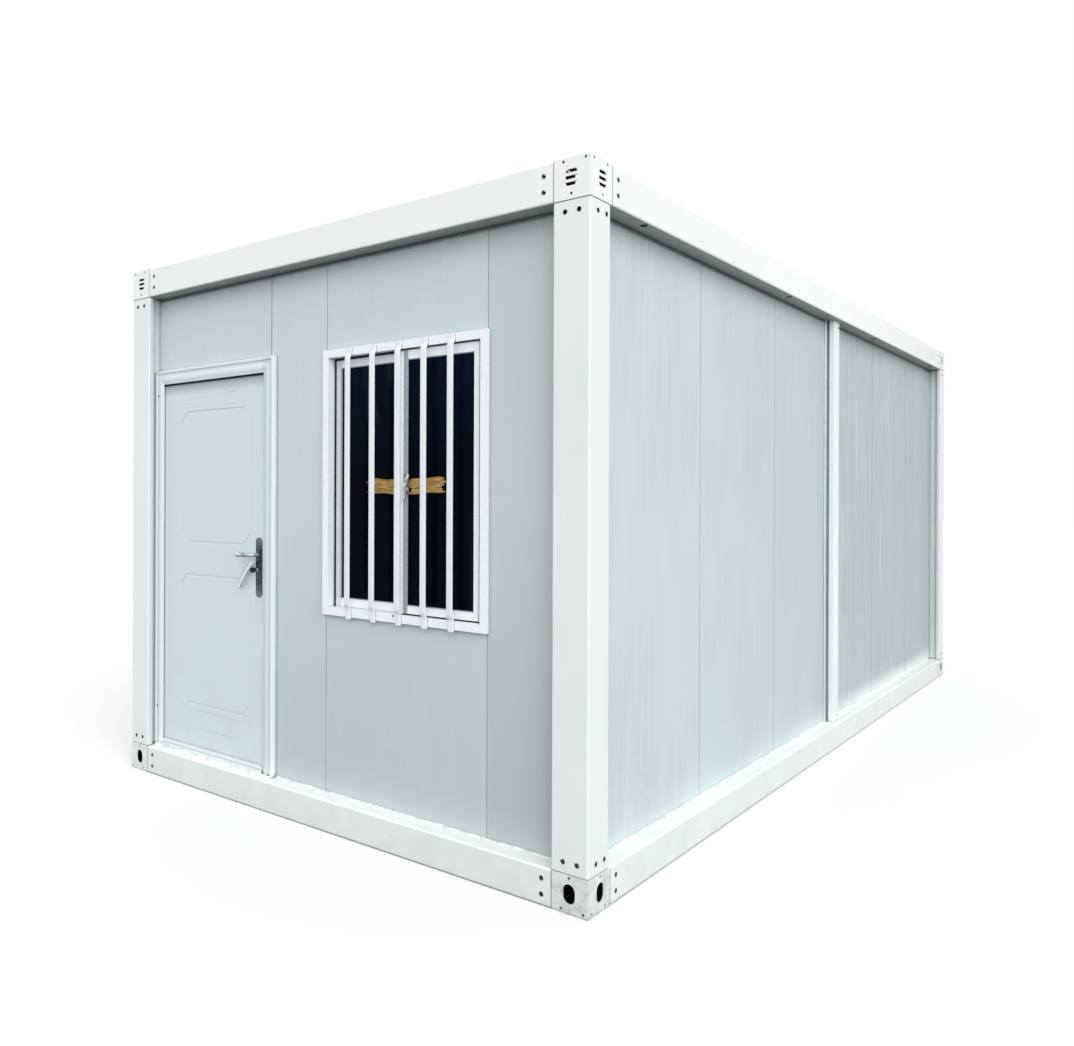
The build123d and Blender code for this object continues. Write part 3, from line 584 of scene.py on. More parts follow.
def roof_coat():
    """Coated roof sheet, pale grey, with rain stains between the ribs and a dulled rib edge."""
    f = Finish("roof_coat")
    stains = f.noise(4.0, 5.0, f.stretched((0.25, 1.0, 1.0)))
    colour = f.mix(f.between(stains, 0.45, 0.75), (214, 219, 221), (186, 190, 188))
    colour = f.mix(f.rubbed(0.004, 30.0, 3.0, 0.45, 0.7, 0.4), colour, (160, 165, 166))
    f.bump(f.noise(140.0, 2.0), 0.0003, 0.3)
    return f.set(colour, f.between(stains, 0.3, 0.7, 0.40, 0.58), specular=0.3)


def cement_board():
    """Cement board: cloudy warm grey with fine pits."""
    f = Finish("cement_board")
    colour = f.clouds(8.0, 6.0, 0.35, 0.65, (176, 172, 162), (150, 147, 139))
    f.bump(f.noise(300.0, 4.0), 0.0004, 0.5)
    return f.set(colour, f.sheen(40.0, 3.0, 0.75, 0.9), specular=0.2)


def floor_sheet():
    """Sheet flooring: stone-like flecks on warm grey, with walked-in dull tracks."""
    f = Finish("floor_sheet")
    flecks = f.between(f.noise(180.0, 3.0), 0.55, 0.68)
    base = f.clouds(2.0, 3.0, 0.35, 0.65, (150, 146, 138), (138, 135, 129))
    f.bump(f.noise(220.0, 2.0), 0.0002, 0.4)
    return f.set(f.mix(flecks, base, (110, 106, 100)), f.sheen(5.0, 3.0, 0.35, 0.55))


def ceiling_coat():
    """White coated ceiling strips: joints every 20 cm and a faint ripple."""
    f = Finish("ceiling_coat")
    y = f.xyz()[1]
    across = f.size(f.minus(f.math("FRACT", f.times(y, 5.0)), 0.5))
    joint = f.between(across, 0.484, 0.494)
    colour = f.mix(joint, (228, 231, 231), (150, 154, 156))
    f.bump(f.minus(f.noise(12.0, 2.0), joint), 0.001, 0.4)
    return f.set(colour, f.sheen(9.0, 2.0, 0.35, 0.5), specular=0.3)


def lock_nickel():
    """Nickel, nearly black on the plates and brighter at their ends; the levers are steel, with painted shade
    on their lower half.
    """
    f = Finish("lock_nickel")
    _, y, height = f.xyz()
    away = f.size(f.minus(height, (lock_low.z + lock_high.z) / 2))
    rubbed = f.most(f.times(f.edges(0.002), 0.8), f.between(away, 0.085, 0.135, 0.0, 0.30))
    grooves = f.noise(5.0, 2.0, f.stretched((30.0, 1.0, 4.0)))
    mottled = f.between(f.noise(70.0, 4.0), 0.50, 0.64, 0.0, 0.7)
    dark = f.mix(f.between(grooves, 0.4, 0.6), (18, 21, 23), (44, 50, 52))
    plated = f.mix(rubbed, f.mix(mottled, dark, (104, 114, 116)), (158, 166, 168))
    steel = f.clouds(45.0, 3.0, 0.40, 0.62, (214, 221, 221), (140, 148, 150))
    # Painted shade on the lower half of the levers.
    steel = f.mix(f.between(height, spindle_z - 0.002, spindle_z - 0.008), steel, (42, 47, 49))
    outside = f.most(f.below(y, lock_low.y - 0.004), f.above(y, lock_high.y + 0.004))
    f.bump(grooves, 0.0006, 0.5)
    return f.set(f.mix(outside, plated, steel), f.sheen(80.0, 3.0, 0.24, 0.36), metallic=0.45)


def closure_coat():
    """Closing plates of the corner fittings: near-black painted shade towards the fitting, grey paint towards
    the beams.
    """
    f = Finish("closure_coat")
    x, y, _ = f.xyz()
    into_x = f.minus(f.size(x), fitting_x)
    into_y = f.minus(f.size(y), fitting_y)
    inside = f.above(f.least(into_x, into_y), -0.0025)
    mottled = f.between(f.noise(30.0, 3.0), 0.35, 0.65)
    grey = f.mix(mottled, (206, 211, 212), (188, 194, 195))
    # Near-black painted shade inside the fitting.
    pocket_shade = f.mix(mottled, (18, 20, 22), (30, 33, 35))
    f.bump(f.noise(240.0, 2.0), 0.0001, 0.4)
    return f.set(f.mix(inside, grey, pocket_shade), f.sheen(18.0, 2.0, 0.5, 0.7), specular=0.2)


def plain_metal(name, dark, light, roughness, metallic, grain=120.0):
    """Bare or plated small part: two tones in fine grain, brighter where an edge is rubbed."""
    f = Finish(name)
    colour = f.clouds(grain, 3.0, 0.35, 0.65, dark, light)
    rubbed = f.mix(f.times(f.edges(0.0012), 0.6), colour, [min(255, c + 50) for c in light])
    f.bump(f.noise(grain * 3, 2.0), 0.0001, 0.4)
    return f.set(rubbed, f.sheen(grain / 2, 2.0, roughness - 0.06, roughness + 0.06), metallic)


def rubber():
    """Black weather strip, matt, with a dusty bloom."""
    f = Finish("rubber")
    colour = f.clouds(30.0, 4.0, 0.45, 0.7, (22, 25, 27), (48, 52, 54))
    f.bump(f.noise(500.0, 2.0), 0.0002, 0.5)
    return f.set(colour, f.sheen(50.0, 2.0, 0.6, 0.75), specular=0.2)


def bar_coat():
    """White painted window bar with a few chips on its edges."""
    f = Finish("bar_coat")
    base_tone = f.clouds(3.0, 2.0, 0.35, 0.65, (240, 244, 248), (235, 240, 245))
    chips = f.rubbed(0.002, 45.0, 4.0, 0.52, 0.66, 0.5)
    f.bump(f.noise(350.0, 2.0), 0.00012, 0.6)
    return f.set(f.mix(chips, base_tone, (165, 170, 174)), f.sheen(18.0, 2.0, 0.26, 0.36))


def brown_tape():
    """Ochre packing tape, semi-gloss, with creases."""
    f = Finish("brown_tape")
    creases = f.noise(35.0, 4.0, f.stretched((0.5, 1.0, 3.0)))
    # Partly painted light: the tone follows the crease relief, paler on the raised creases and darker in the
    # hollows.
    colour = f.mix(f.between(creases, 0.35, 0.68), (112, 84, 36), (208, 172, 102))
    f.bump(creases, 0.0012, 0.6)
    return f.set(colour, f.sheen(25.0, 2.0, 0.30, 0.45), specular=0.4)


def sealant():
    """White sealant bead, smeared by hand, slightly yellowed and dusty."""
    f = Finish("sealant")
    clean = f.clouds(24.0, 4.0, 0.4, 0.7, (240, 244, 243), (210, 212, 207))
    specks = f.between(f.noise(46.0, 4.0, roughness=0.7), 0.56, 0.62, 0.0, 0.5)
    colour = f.mix(specks, clean, (96, 104, 106))
    f.bump(f.noise(110.0, 3.0), 0.0012, 0.6)
    return f.set(colour, f.sheen(30.0, 2.0, 0.40, 0.60), specular=0.3)


def clear_tag():
    """Milky clear plastic tag and sleeve on the key."""
    f = Finish("clear_tag")
    colour = f.clouds(90.0, 3.0, 0.4, 0.65, (132, 142, 144), (92, 102, 104))
    f.bump(f.noise(160.0, 2.0), 0.0005, 0.5)
    return f.set(colour, f.sheen(60.0, 2.0, 0.2, 0.35), specular=0.5)


def dress_nodes():
    """Every node of the frame takes the finish of its material slot."""
    made = {
        "frame_paint": frame_coat(),
        "wall_skin": wall_coat(),
        "galvanized": zinc(),
        "floor_board": cement_board(),
        "floor_covering": floor_sheet(),
        "ceiling_skin": ceiling_coat(),
        "roof_skin": roof_coat(),
        "door_frame_paint": door_frame_coat(),
        "door_paint": door_coat(),
        "lock_metal": lock_nickel(),
        "window_plastic": window_plastic(),
        "window_glass": window_glass(),
    }
    for part in frame["record"]["subparts"]:
        slots = nodes[part["node"]].data.materials
        for index in range(len(slots)):
            slots[index] = made[part["material_slot"]]
    return made


# Pieces on the cabin

bar_centres = (0.1865, 0.3424, 0.4974, 0.6487, 0.7970)
bar_width, bar_thickness, bar_round = 0.031, 0.008, 0.0025
bar_stand = 0.010
bar_bend = 0.026
bar_end_run = 0.022
bar_top_inset = 0.004
bar_foot_overhang = 0.008
frame_screw_places = ((0.355, 1.012), (0.463, 1.016))


def window_bars(coat, dark):
    """Flat bars with bent ends, their stand-off on a smooth step, and the screws of the window frame."""
    face = window_low.y - bar_thickness / 2
    top = window_high.z - bar_top_inset
    foot = window_low.z - bar_foot_overhang
    ramp = np.linspace(0, 1, 9)
    step = ramp * ramp * (3 - 2 * ramp)
    upper = top - bar_end_run - bar_bend * ramp
    lower = foot + 2 * bar_end_run + bar_bend * ramp[::-1]
    z = np.concatenate([[top], upper, lower, [foot]])
    out = np.concatenate([[0], step, step[::-1], [0]]) * bar_stand
    outline = rounded_outline(bar_width, bar_thickness, bar_round)
    for number, x in enumerate(bar_centres, 1):
        path = np.stack([np.full_like(z, x), face - out, z], -1)
        piece(f"window_bar_{number}", [carried(outline, path, (1, 0, 0), (0, -1, 0))], coat)
    head = [(0.0050, 0.0), (0.0050, 0.0009), (0.0038, 0.0019), (0.0015, 0.0024), (0.0003, 0.0025)]
    screws = [turned(head, (x, window_low.y, z_screw), (0, -1, 0), 10) for x, z_screw in frame_screw_places]
    piece("frame_screws", screws, dark)


bolt_head_radius = 0.0064
bolt_sink_beam, bolt_sink_post = 0.0028, 0.0070


def bolt_head(depth):
    """Profile of a bolt end sunk below the face by the depth, with a dished hollow and a raised middle."""
    shares = (1.0, 1.0, 0.9, 0.55, 0.45, 0.30, 0.22, 0.02)
    below_top = (0.012, 0.0012, 0.0, 0.0, 0.0030, 0.0030, 0.0008, 0.0)
    return [(share * bolt_head_radius, -depth - below) for share, below in zip(shares, below_top)]


def frame_bolts(steel, dark):
    """Bolts sunk in the frame's holes: deeper in the posts' heads, brighter in the lower half."""
    low_head, high_head = bolt_head(bolt_sink_beam), bolt_head(bolt_sink_post)
    half_x, half_y = cabin_high.x, cabin_high.y
    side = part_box("floor_corner_front_left")[1].x - cabin_low.x
    roof_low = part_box("roof_beam_front")[0].z
    spots = []
    for middle in (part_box("floor_beam_front")[1].z / 2, (roof_low + cabin_high.z) / 2):
        for z in (middle - bolt_spacing / 2, middle + bolt_spacing / 2):
            spots.append(("end", side + bolt_from_fitting, z))
            spots.append(("side", side + bolt_from_fitting, z))
    for z in (ledge + post_bolt_height, soffit - post_bolt_height):
        for i in range(2):
            spots.append(("end", post_bolt_end_first + i * post_bolt_pitch, z))
            spots.append(("side", post_bolt_side_first + i * post_bolt_pitch, z))
    low_bolts = []
    high_bolts = []
    for face, reach, z in spots:
        at_foot = z < cabin_high.z / 2
        on_roof_beam = z > soffit
        head = low_head if at_foot or on_roof_beam else high_head
        bolts = low_bolts if at_foot else high_bolts
        for sx, sy in corner_signs:
            if face == "end":
                bolts.append(turned(head, (sx * (half_x - reach), sy * half_y, z), (0, sy, 0), 12))
            else:
                bolts.append(turned(head, (sx * half_x, sy * (half_y - reach), z), (sx, 0, 0), 12))
    piece("foot_bolts", low_bolts, steel)
    piece("head_bolts", high_bolts, dark)


wire_hole_x = cabin_high.x - 0.028
wire_hole_places = (-2.511, -0.824, 0.863, 2.550)
wire_hole_radius = 0.011


def wire_grommets(black):
    """Rubber plugs in the wire holes of the side beams: a flange under the soffit round a dimple."""
    r = wire_hole_radius - 0.0003
    cap = [(r, 0.004), (r, 0.0), (1.55 * r, 0.0), (1.50 * r, -0.0014), (1.15 * r, -0.0018), (0.9 * r, -0.0004),
           (0.5 * r, 0.0012), (0.1 * r, 0.0022)]
    shapes = []
    for x in (-wire_hole_x, wire_hole_x):
        for y in wire_hole_places:
            shapes.append(turned(cap, (x, y, soffit), (0, 0, 1), 14))
    piece("wire_grommets", shapes, black)


seal_width, seal_thickness = 0.016, 0.0045


def door_seal_and_shade(black):
    """Weather strip on the back of the door stops: a flat lip down both jambs and under the head, wider than a
    real strip under the head and on the hinge side, where it also stands for painted shade.
    """
    y1 = leaf_low.y - 0.0002
    y0 = y1 - seal_thickness
    x0, x1 = leaf_low.x - 0.004, leaf_high.x + 0.005
    z1 = leaf_high.z + 0.004
    left = slab((x0, y0, ledge + 0.045), (x0 + seal_width + 0.009, y1, z1), 0.001)
    right = slab((x1 - seal_width - 0.002, y0, ledge + 0.045), (x1, y1, z1), 0.001)
    head = slab((x0 + seal_width, y0, z1 - seal_width - 0.012), (x1 - seal_width, y1, z1), 0.001, along=0)
    piece("door_seal_and_shade", [left, right, head], black)


trim_screw_levels = (0.362, 2.098)


def trim_screws(dark):
    """Pan-head screws in the groove of the hinge-side jamb, and at both ends of the middle posts."""
    head = [(0.0055, 0.0), (0.0055, 0.0010), (0.0042, 0.0026), (0.0018, 0.0034), (0.0004, 0.0035)]
    x = frame_low.x + 0.0275
    y = window_low.y - 0.004
    shapes = [turned(head, (x, y, z), (0, -1, 0), 12) for z in trim_screw_levels]
    for side in ("left", "right"):
        low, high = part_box("mid_post_" + side)
        outside, way = (high.x, 1) if side == "right" else (low.x, -1)
        for z in (low.z + 0.030, high.z - 0.040):
            shapes.append(turned(head, (outside, high.y - 0.020, z), (way, 0, 0), 12))
    piece("trim_screws", shapes, dark)


def lock_dress(nickel, bright):
    """Turned collars round the spindle on both faces, and a lighter core in each key cylinder."""
    collar = [(0.0165, 0.0), (0.0165, 0.0030), (0.0150, 0.0062), (0.0118, 0.0075), (0.0096, 0.0070),
              (0.0096, 0.0)]
    collars = []
    cores = []
    for y, way in ((leaf_low.y - 0.008, -1), (leaf_low.y + 0.064 + 0.008, 1)):
        collars.append(turned(collar, (lock_x, y, spindle_z), (0, way, 0), 24))
        core = [(0.0055, 0.003), (0.0055, 0.0052), (0.0046, 0.0058), (0.0010, 0.0058)]
        cores.append(turned(core, (lock_x, y, cylinder_z), (0, way, 0), 16))
    piece("lever_collars", collars, nickel, body="door")
    piece("cylinder_cores", cores, bright, body="door")


def lever_grips(nickel):
    """Plated grips over both levers: a turned profile that swells along the rod and ends in a rounded knob."""
    radius, tip = 0.0116, lever_low.x - 0.0025
    root = lock_x - 0.030
    reach = root - tip
    profile = [(0.0092, 0.0), (0.0104, 0.004), (radius, 0.022), (radius, reach - 0.020),
               (0.0098, reach - 0.018), (0.0098, reach - 0.015), (0.0122, reach - 0.013),
               (0.0122, reach - 0.004), (0.0090, reach - 0.0006), (0.0010, reach)]
    rods = (lever_low.y + 0.009, lever_high.y - 0.009)
    shapes = [turned(profile, (root, y, spindle_z), (-1, 0, 0), 20) for y in rods]
    piece("lever_grips", shapes, nickel, body="lever")


key_face = leaf_low.y - 0.012


def key(black, bright):
    """A key in the outer cylinder: a flat blade and a black bow, drawn in a little at both faces."""
    z = cylinder_z
    low = (lock_x - 0.0010, key_face - 0.018, z - 0.0036)
    high = (lock_x + 0.0010, key_face - 0.001, z + 0.0036)
    angles = np.linspace(0, 2 * np.pi, 25, endpoint=False)
    swell = 1 + 0.10 * np.cos(2 * angles)
    outline = np.stack([0.0165 * swell * np.cos(angles), 0.0150 * swell * np.sin(angles)], -1)
    widths = np.array([0.0, 0.0018, 0.0036, 0.0054, 0.0072])
    shrink = np.array([0.90, 1.0, 1.0, 1.0, 0.90])
    path = np.stack([lock_x - 0.0036 + widths, np.full(5, key_face - 0.030), np.full(5, z)], -1)
    bow = carried(outline * shrink[:, None, None], path, (0, 1, 0), (0, 0, 1))
    piece("key_blade", [slab(low, high, 0.0006, 1)], bright, body="door")
    piece("key_bow", [bow], black, body="door")


def directions(path):
    """Unit steps along a path of points."""
    way = np.gradient(path, axis=0)
    return way / np.linalg.norm(way, axis=1, keepdims=True)


def key_strap(tag, sleeve_grey):
    """White strip in a clear sleeve that hangs aslant from the key on a ring, in a shallow arc."""
    z = cylinder_z
    run = np.linspace(0, 1, 22)
    path = np.stack([lock_x - 0.016 - 0.118 * run, key_face - 0.021 + 0.008 * run,
                     z + 0.040 - 0.134 * run + 0.010 * np.sin(np.pi * run)], -1)
    way = directions(path)
    across = np.cross(way, (0.0, 1.0, 0.0))
    across /= np.linalg.norm(across, axis=1, keepdims=True)
    over = np.cross(way, across)
    taper = np.stack([1.25 - 0.55 * run, np.ones_like(run)], -1)[:, None, :]
    strip_outline = rounded_outline(0.0195, 0.0012, 0.0005, 3) * taper
    sleeve_outline = rounded_outline(0.0270, 0.0012, 0.0005, 3) * taper
    strip = carried(strip_outline, path + [0.0, -0.0016, 0.0], across, over)
    sleeve = carried(sleeve_outline, path, across, over)
    turn = np.linspace(0, 2 * np.pi, 28)
    centre = np.array([lock_x - 0.004, key_face - 0.034, z + 0.010])
    loop = centre + 0.012 * np.stack([np.cos(turn) * 0.6, 0 * turn, np.sin(turn)], -1)
    loop_over = np.cross(directions(loop), (0.0, 1.0, 0.0))
    ring = carried(rounded_outline(0.0030, 0.0030, 0.0012, 3), loop, (0, 1, 0), loop_over)
    piece("key_strip", [strip], tag, body="door")
    piece("key_sleeve", [sleeve, ring], sleeve_grey, body="door")


tape_level = 1.589
tape_height = 0.066
tape_spans = ((0.262, 0.470), (0.536, 0.733))


def tape_strips(tape):
    """Strips of tape on the panes: a thin sheet with torn ends, its face rippled by two sines."""
    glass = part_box("window_glass")
    shapes = []
    for (x0, x1), y in zip(tape_spans, (glass[1].y - 0.005, glass[0].y)):
        u = np.linspace(0, 1, 60)
        v = np.linspace(0, 1, 14)
        uu, vv = np.meshgrid(u, v, indexing="ij")
        tear = 0.010 * np.sin(9 * vv + 2) + 0.007 * np.sin(29 * vv + x0) + 0.004 * np.sin(77 * vv)
        x = x0 + (x1 - x0) * uu + tear * (uu ** 8 - (1 - uu) ** 8)
        sag = 0.004 * np.sin(3.0 * uu + x0 * 9)
        z = tape_level + tape_height * (vv - 0.5) * (1 + 0.05 * np.sin(9 * uu)) + sag
        lift = 0.0007 + 0.0006 * np.sin(40 * uu + 6 * vv) * np.sin(23 * vv + 3 * uu)
        front = np.stack([x, y - np.abs(lift) - 0.0004, z], -1)
        back = np.stack([x, np.full_like(x, y) - 0.0001, z], -1)
        rows, columns = uu.shape
        i, j = np.meshgrid(np.arange(rows - 1), np.arange(columns - 1), indexing="ij")
        a = i * columns + j
        quads = np.stack([a, a + columns, a + columns + 1, a + 1], -1).reshape(-1, 4)
        behind = quads[:, ::-1] + rows * columns
        start, end = np.arange(columns), (rows - 1) * columns + np.arange(columns - 2, -1, -1)
        right, left = columns * np.arange(1, rows) + columns - 1, columns * np.arange(rows - 2, 0, -1)
        rim = np.concatenate([start, right, end, left])
        next_rim = np.roll(rim, -1)
        walls = np.stack([rim, next_rim, next_rim + rows * columns, rim + rows * columns], -1)
        points = np.concatenate([front.reshape(-1, 3), back.reshape(-1, 3)])
        shapes.append((points, np.concatenate([quads, behind, walls]).tolist()))
    piece("tape_strips", shapes, tape)


meeting_edge = (sash_low.x + sash_high.x) / 2 - 0.023
meeting_cover = 0.064
meeting_rise = 0.004


def meeting_stile(plastic, grey):
    """Interlock where the sashes meet: a rounded cover strip with a grey draught brush beside it."""
    z0, z1 = sash_low.z + 0.002, sash_high.z - 0.002
    y = sash_low.y
    cover = slab((meeting_edge, y - meeting_rise, z0), (meeting_edge + 0.040, y, z1), 0.0015)
    brush = slab((meeting_edge + 0.040, y - 0.0015, z0), (meeting_edge + meeting_cover, y + 0.004, z1), 0.001)
    piece("meeting_cover", [cover], plastic)
    piece("meeting_brush", [brush], grey)


def sash_seals_and_shadows(black):
    """Dark seals between both sashes and the frame; the strips at the foot and beside the rear sash are wide
    enough to stand for painted shadow in the track and the reveal.
    """
    left, right = window_low.x + 0.038, window_high.x - 0.038
    low, high = sash_low.z, sash_high.z
    y = sash_low.y
    face = window_low.y
    foot = slab((meeting_edge, y - 0.0015, low), (right, y, low + 0.0060), 0.0006, along=0)
    side = slab((right, face - 0.0004, low - 0.004), (right + 0.0030, face + 0.001, high + 0.006), 0.0002)
    rear = y + 0.026
    rear_side = slab((left, rear - 0.0015, low), (left + 0.0110, rear, high), 0.0006)
    rear_head = slab((left, rear - 0.0015, high - 0.0040), (meeting_edge, rear, high), 0.0006, along=0)
    piece("sash_seals_and_shadows", [foot, side, rear_side, rear_head], black)


def sash_latch(bright):
    """Latch on the meeting stile: a plate, a turned boss and a short thumb lever."""
    x = meeting_edge + meeting_cover - 0.003
    y = sash_low.y - meeting_rise
    z = tape_level + 0.004
    plate = slab((x - 0.011, y - 0.004, z - 0.046), (x + 0.011, y + 0.003, z + 0.046), 0.0012)
    boss_profile = [(0.0085, 0.0), (0.0085, 0.0075), (0.0070, 0.0095), (0.0010, 0.0100)]
    boss = turned(boss_profile, (x, y - 0.004, z), (0, -1, 0), 20)
    thumb = slab((x - 0.0055, y - 0.019, z - 0.066), (x + 0.0045, y - 0.012, z + 0.012), 0.0025)
    piece("sash_latch", [plate, boss, thumb], bright)


def glazing_lips(grey):
    """Slim glazing lips round both panes: a half-round bead on each side of the opening in the sash."""
    stile = 0.040
    lip = 0.004
    shapes = []
    middle = (sash_low.x + sash_high.x) / 2
    spans = ((middle - 0.023, sash_high.x, sash_low.y), (sash_low.x, middle + 0.023, sash_low.y + 0.026))
    for x0, x1, y in spans:
        a0, a1 = x0 + stile, x1 - stile
        b0, b1 = sash_low.z + stile, sash_high.z - stile
        y0, y1 = y + 0.0045, y + 0.0085
        shapes.append(slab((a0, y0, b0), (a0 + lip, y1, b1), 0.0015))
        shapes.append(slab((a1 - lip, y0, b0), (a1, y1, b1), 0.0015))
        shapes.append(slab((a0 + lip, y0, b0), (a1 - lip, y1, b0 + lip), 0.0015, along=0))
        shapes.append(slab((a0 + lip, y0, b1 - lip), (a1 - lip, y1, b1), 0.0015, along=0))
    piece("glazing_lips", shapes, grey)


def foot_beads(white):
    """Sealant along the foot of the walls: a quarter-round bead whose size wanders with three sines."""
    def bead(start, end, out, size=0.0065):
        start, end, out = np.array(start), np.array(end), np.array(out, float)
        length = np.linalg.norm(end - start)
        run = np.linspace(0, length, int(length / 0.02))
        wander = 1 + 0.22 * np.sin(31 * run) + 0.16 * np.sin(77 * run + 1) + 0.12 * np.sin(171 * run + 2)
        angles = np.linspace(0, np.pi / 2, 6)
        arc = np.concatenate([[[0, 0]], np.stack([np.cos(angles), np.sin(angles)], -1)]) * size
        outlines = arc[None] * wander[:, None, None]
        path = start + (end - start) * (run / length)[:, None]
        return carried(outlines, path, out, (0, 0, 1))

    reach_x = right_plane - 0.052
    reach_y = 2.80
    door_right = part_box("door_jamb_right")[1].x
    sill_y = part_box("door_sill")[0].y
    shapes = [
        bead((frame_low.x + 0.030, sill_y, ledge), (frame_high.x - 0.004, sill_y, ledge), (0, -1, 0), 0.011),
        bead((door_right + 0.002, front_plane, ledge), (reach_x, front_plane, ledge), (0, -1, 0)),
        bead((right_plane, -reach_y, ledge), (right_plane, reach_y, ledge), (1, 0, 0)),
        bead((-right_plane, -reach_y, ledge), (-right_plane, reach_y, ledge), (-1, 0, 0)),
        bead((-reach_x, back_plane, ledge), (reach_x, back_plane, ledge), (0, 1, 0)),
    ]
    piece("foot_sealant", shapes, white)


def pocket_closures(dark):
    """Plates that close the corner fittings towards the beams and the room, so their holes look dark: their
    fitting side is painted shade.
    """
    thickness = 0.003
    in_x, in_y = fitting_x - 0.001, fitting_y - 0.001
    out_x, out_y = cabin_high.x - 0.012, cabin_high.y - 0.012
    shapes = []
    for z0, z1 in ((soffit + 0.006, cabin_high.z - 0.008), (0.007, ledge - 0.007)):
        for sx, sy in corner_signs:
            low, high = (in_x - thickness, fitting_y + 0.004, z0), (in_x, out_y, z1)
            shapes.append(mirrored_slab(low, high, sx, sy, 0.0006))
            low, high = (fitting_x + 0.004, in_y - thickness, z0), (out_x, in_y, z1)
            shapes.append(mirrored_slab(low, high, sx, sy, 0.0006))
    piece("pocket_closures", shapes, dark)


stacking_hole_radius = 0.013
stacking_hole_x, stacking_hole_y = 1.420, 2.895


def stacking_plugs(black):
    """Thin caps in the roof fittings' stacking holes: a flat disc with a rounded rim and a raised middle."""
    r = stacking_hole_radius - 0.0003
    cap = [(r, -0.0055), (r, -0.0022), (0.92 * r, -0.0014), (0.45 * r, -0.0014), (0.38 * r, -0.0008),
           (0.05 * r, -0.0006)]
    shapes = []
    for sx, sy in corner_signs:
        place = (sx * stacking_hole_x, sy * stacking_hole_y, cabin_high.z)
        shapes.append(turned(cap, place, (0, 0, 1), 18))
    piece("stacking_plugs", shapes, black)


seam_width = 0.0034
slim_seam_width = 0.00306
seam_proud = 0.0004
front_seams = (-0.390, 0.015, 0.971)
side_seams = (-1.840, -0.880, 1.040, 2.000)


def front_seam(x, width, z0, z1):
    """Strip over one joint of the front wall."""
    low = (x - width / 2, front_plane - seam_proud, z0)
    return slab(low, (x + width / 2, front_plane, z1), 0.0001)


def panel_seams(dark, faint):
    """Joint lines between panels: a slim strip over each joint, dark and wider over the door's lock side."""
    strong = front_seam(front_seams[0], seam_width, frame_high.z + 0.002, soffit)
    piece("seam_over_door", [strong], dark)
    slim = []
    for x in front_seams[1:]:
        slim.append(front_seam(x, slim_seam_width, ledge + 0.006, window_low.z - 0.001))
        slim.append(front_seam(x, slim_seam_width, window_high.z + 0.001, soffit))
    for y in side_seams:
        low = (right_plane, y - seam_width / 2, ledge + 0.006)
        high = (right_plane + seam_proud, y + seam_width / 2, soffit)
        for sx in (-1, 1):
            slim.append(mirrored_slab(low, high, sx, 1, 0.0001))
    piece("seam_lines", slim, faint)


def mid_post_mouldings(pale):
    """Pale edge mouldings on the walls beside both side posts, towards the door end."""
    post_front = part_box("mid_post_right")[0].y
    low = (right_plane, post_front - 0.034, ledge + 0.004)
    high = (right_plane + 0.008, post_front - 0.006, soffit - 0.001)
    shapes = [mirrored_slab(low, high, sx, 1, 0.003) for sx in (-1, 1)]
    piece("mid_post_mouldings", shapes, pale)


def roof_screws(steel):
    """Washer-head screws on the ribs of the roof sheet."""
    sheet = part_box("roof_sheet")
    head = [(0.0080, 0.0), (0.0080, 0.0012), (0.0052, 0.0020), (0.0050, 0.0058), (0.0040, 0.0064),
            (0.0005, 0.0064)]
    length = sheet[1].y - sheet[0].y
    ribs = sheet[0].y + length * np.arange(1, 12) / 12
    shapes = []
    for y in ribs:
        for x in np.linspace(sheet[0].x + 0.05, sheet[1].x - 0.05, 5):
            shapes.append(turned(head, (x, y, sheet[1].z), (0, 0, 1), 8))
    piece("roof_screws", shapes, steel)


# Stage


def camera():
    """Camera at the photograph's place: yaw, pitch and roll give its axes, the axis pixel gives the shift."""
    level = Vector((np.cos(camera_yaw), np.sin(camera_yaw), 0.0))
    ahead = Vector((-np.sin(camera_yaw), np.cos(camera_yaw), 0.0))
    forward = ahead * np.cos(camera_pitch) + Vector((0.0, 0.0, np.sin(camera_pitch)))
    above = level.cross(forward)
    right = level * np.cos(camera_roll) + above * np.sin(camera_roll)
    up = above * np.cos(camera_roll) - level * np.sin(camera_roll)
    data = bpy.data.cameras.new("photo_camera")
    data.sensor_width = 36.0
    data.lens = focal_pixels * data.sensor_width / photo_width
    data.shift_x = (photo_width / 2 - axis_pixel[0]) / photo_width
    data.shift_y = (axis_pixel[1] - photo_height / 2) / photo_width
    data.clip_end = 200.0
    made = placed("photo_camera", data)
    axes = Matrix((right, up, -forward)).transposed().to_4x4()
    made.matrix_world = Matrix.Translation(camera_place) @ axes
    bpy.context.scene.camera = made


sky_level = 0.92
sun_strength = 1.79
sun_towards = Vector((0.704, -0.510, 0.493))
ground_tone = (123, 125, 126)


def seen_rays(tree):
    """1 for camera, glossy and transmission rays."""
    rays = tree.nodes.new("ShaderNodeLightPath").outputs
    first = tree.nodes.new("ShaderNodeMath")
    second = tree.nodes.new("ShaderNodeMath")
    first.operation = second.operation = "MAXIMUM"
    tree.links.new(rays["Is Camera Ray"], first.inputs[0])
    tree.links.new(rays["Is Glossy Ray"], first.inputs[1])
    tree.links.new(first.outputs[0], second.inputs[0])
    tree.links.new(rays["Is Transmission Ray"], second.inputs[1])
    return second.outputs[0]


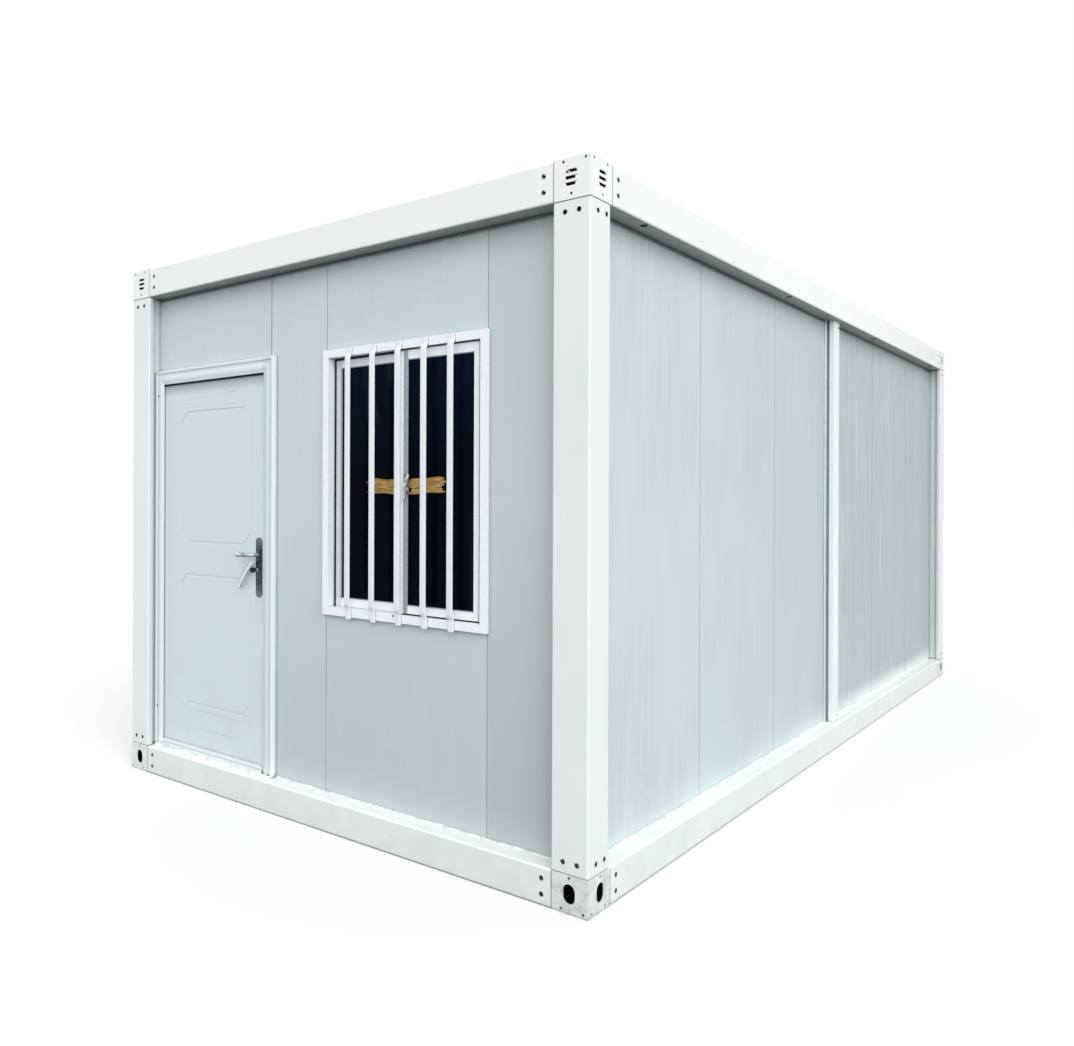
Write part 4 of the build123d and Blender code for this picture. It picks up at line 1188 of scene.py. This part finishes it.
def lights():
    """Even pale sky and one very soft sun from the right, and a white background for rays that see it."""
    world = bpy.data.worlds.new("studio")
    bpy.context.scene.world = world
    world.use_nodes = True
    tree = world.node_tree
    background = tree.nodes["Background"]
    background.inputs["Color"].default_value = (1.0, 1.0, 1.0, 1.0)
    level = tree.nodes.new("ShaderNodeMapRange")
    tree.links.new(seen_rays(tree), level.inputs[0])
    level.inputs[3].default_value = sky_level
    level.inputs[4].default_value = 1.0
    tree.links.new(level.outputs[0], background.inputs["Strength"])
    data = bpy.data.lights.new("soft_sun", "SUN")
    data.energy = sun_strength
    data.angle = np.radians(60)
    sun = placed("soft_sun", data)
    sun.rotation_mode = "QUATERNION"
    sun.rotation_quaternion = sun_towards.to_track_quat("Z", "Y")


def floor():
    """Plain floor: white where it is seen, so that only the cabin's shadow shows, and mid grey to the light."""
    mesh = bpy.data.meshes.new("floor")
    size = 60.0
    corners = [(-size, -size, 0), (size, -size, 0), (size, size, 0), (-size, size, 0)]
    mesh.from_pydata(corners, [], [(0, 1, 2, 3)])
    material = bpy.data.materials.new("floor_pale")
    material.use_nodes = True
    tree = material.node_tree
    shader = tree.nodes["Principled BSDF"]
    shader.inputs["Roughness"].default_value = 0.9
    shader.inputs["Specular IOR Level"].default_value = 0.0
    mix = tree.nodes.new("ShaderNodeMix")
    mix.data_type = "RGBA"
    tree.links.new(seen_rays(tree), mix.inputs[0])
    mix.inputs[6].default_value = display(*ground_tone)
    mix.inputs[7].default_value = (0.93, 0.93, 0.93, 1.0)
    tree.links.new(mix.outputs[2], shader.inputs["Base Color"])
    mesh.materials.append(material)
    placed("floor", mesh)


coats = dress_nodes()
bolt_steel = plain_metal("bolt_steel", (40, 44, 46), (76, 82, 84), 0.4, 0.7)
dark_screw = plain_metal("dark_screw", (60, 64, 66), (104, 110, 112), 0.4, 0.7)
bright_zinc = plain_metal("bright_zinc", (150, 156, 160), (196, 202, 205), 0.3, 0.8)
black_rubber = rubber()
grey_lip = plain_metal("grey_lip", (150, 156, 160), (172, 178, 182), 0.5, 0.0)
latch_silver = plain_metal("latch_silver", (84, 90, 94), (222, 228, 232), 0.35, 0.3, 60.0)
joint_filler = plain_metal("joint_filler", (108, 116, 118), (132, 140, 142), 0.7, 0.0, 40.0)
pale_edge = plain_metal("pale_edge", (206, 216, 217), (220, 228, 229), 0.5, 0.0, 40.0)
white_bar = bar_coat()

window_bars(white_bar, dark_screw)
frame_bolts(bolt_steel, black_rubber)
wire_grommets(black_rubber)
door_seal_and_shade(black_rubber)
trim_screws(dark_screw)
lock_dress(coats["lock_metal"], bright_zinc)
lever_grips(coats["lock_metal"])
key(black_rubber, bright_zinc)
key_strap(white_bar, clear_tag())
tape_strips(brown_tape())
meeting_stile(coats["window_plastic"], grey_lip)
sash_seals_and_shadows(black_rubber)
sash_latch(latch_silver)
pocket_closures(closure_coat())
stacking_plugs(black_rubber)
panel_seams(black_rubber, joint_filler)
mid_post_mouldings(pale_edge)
glazing_lips(grey_lip)
foot_beads(sealant())
roof_screws(bright_zinc)
camera()
lights()
floor()
bpy.context.scene.view_settings.view_transform = "Standard"
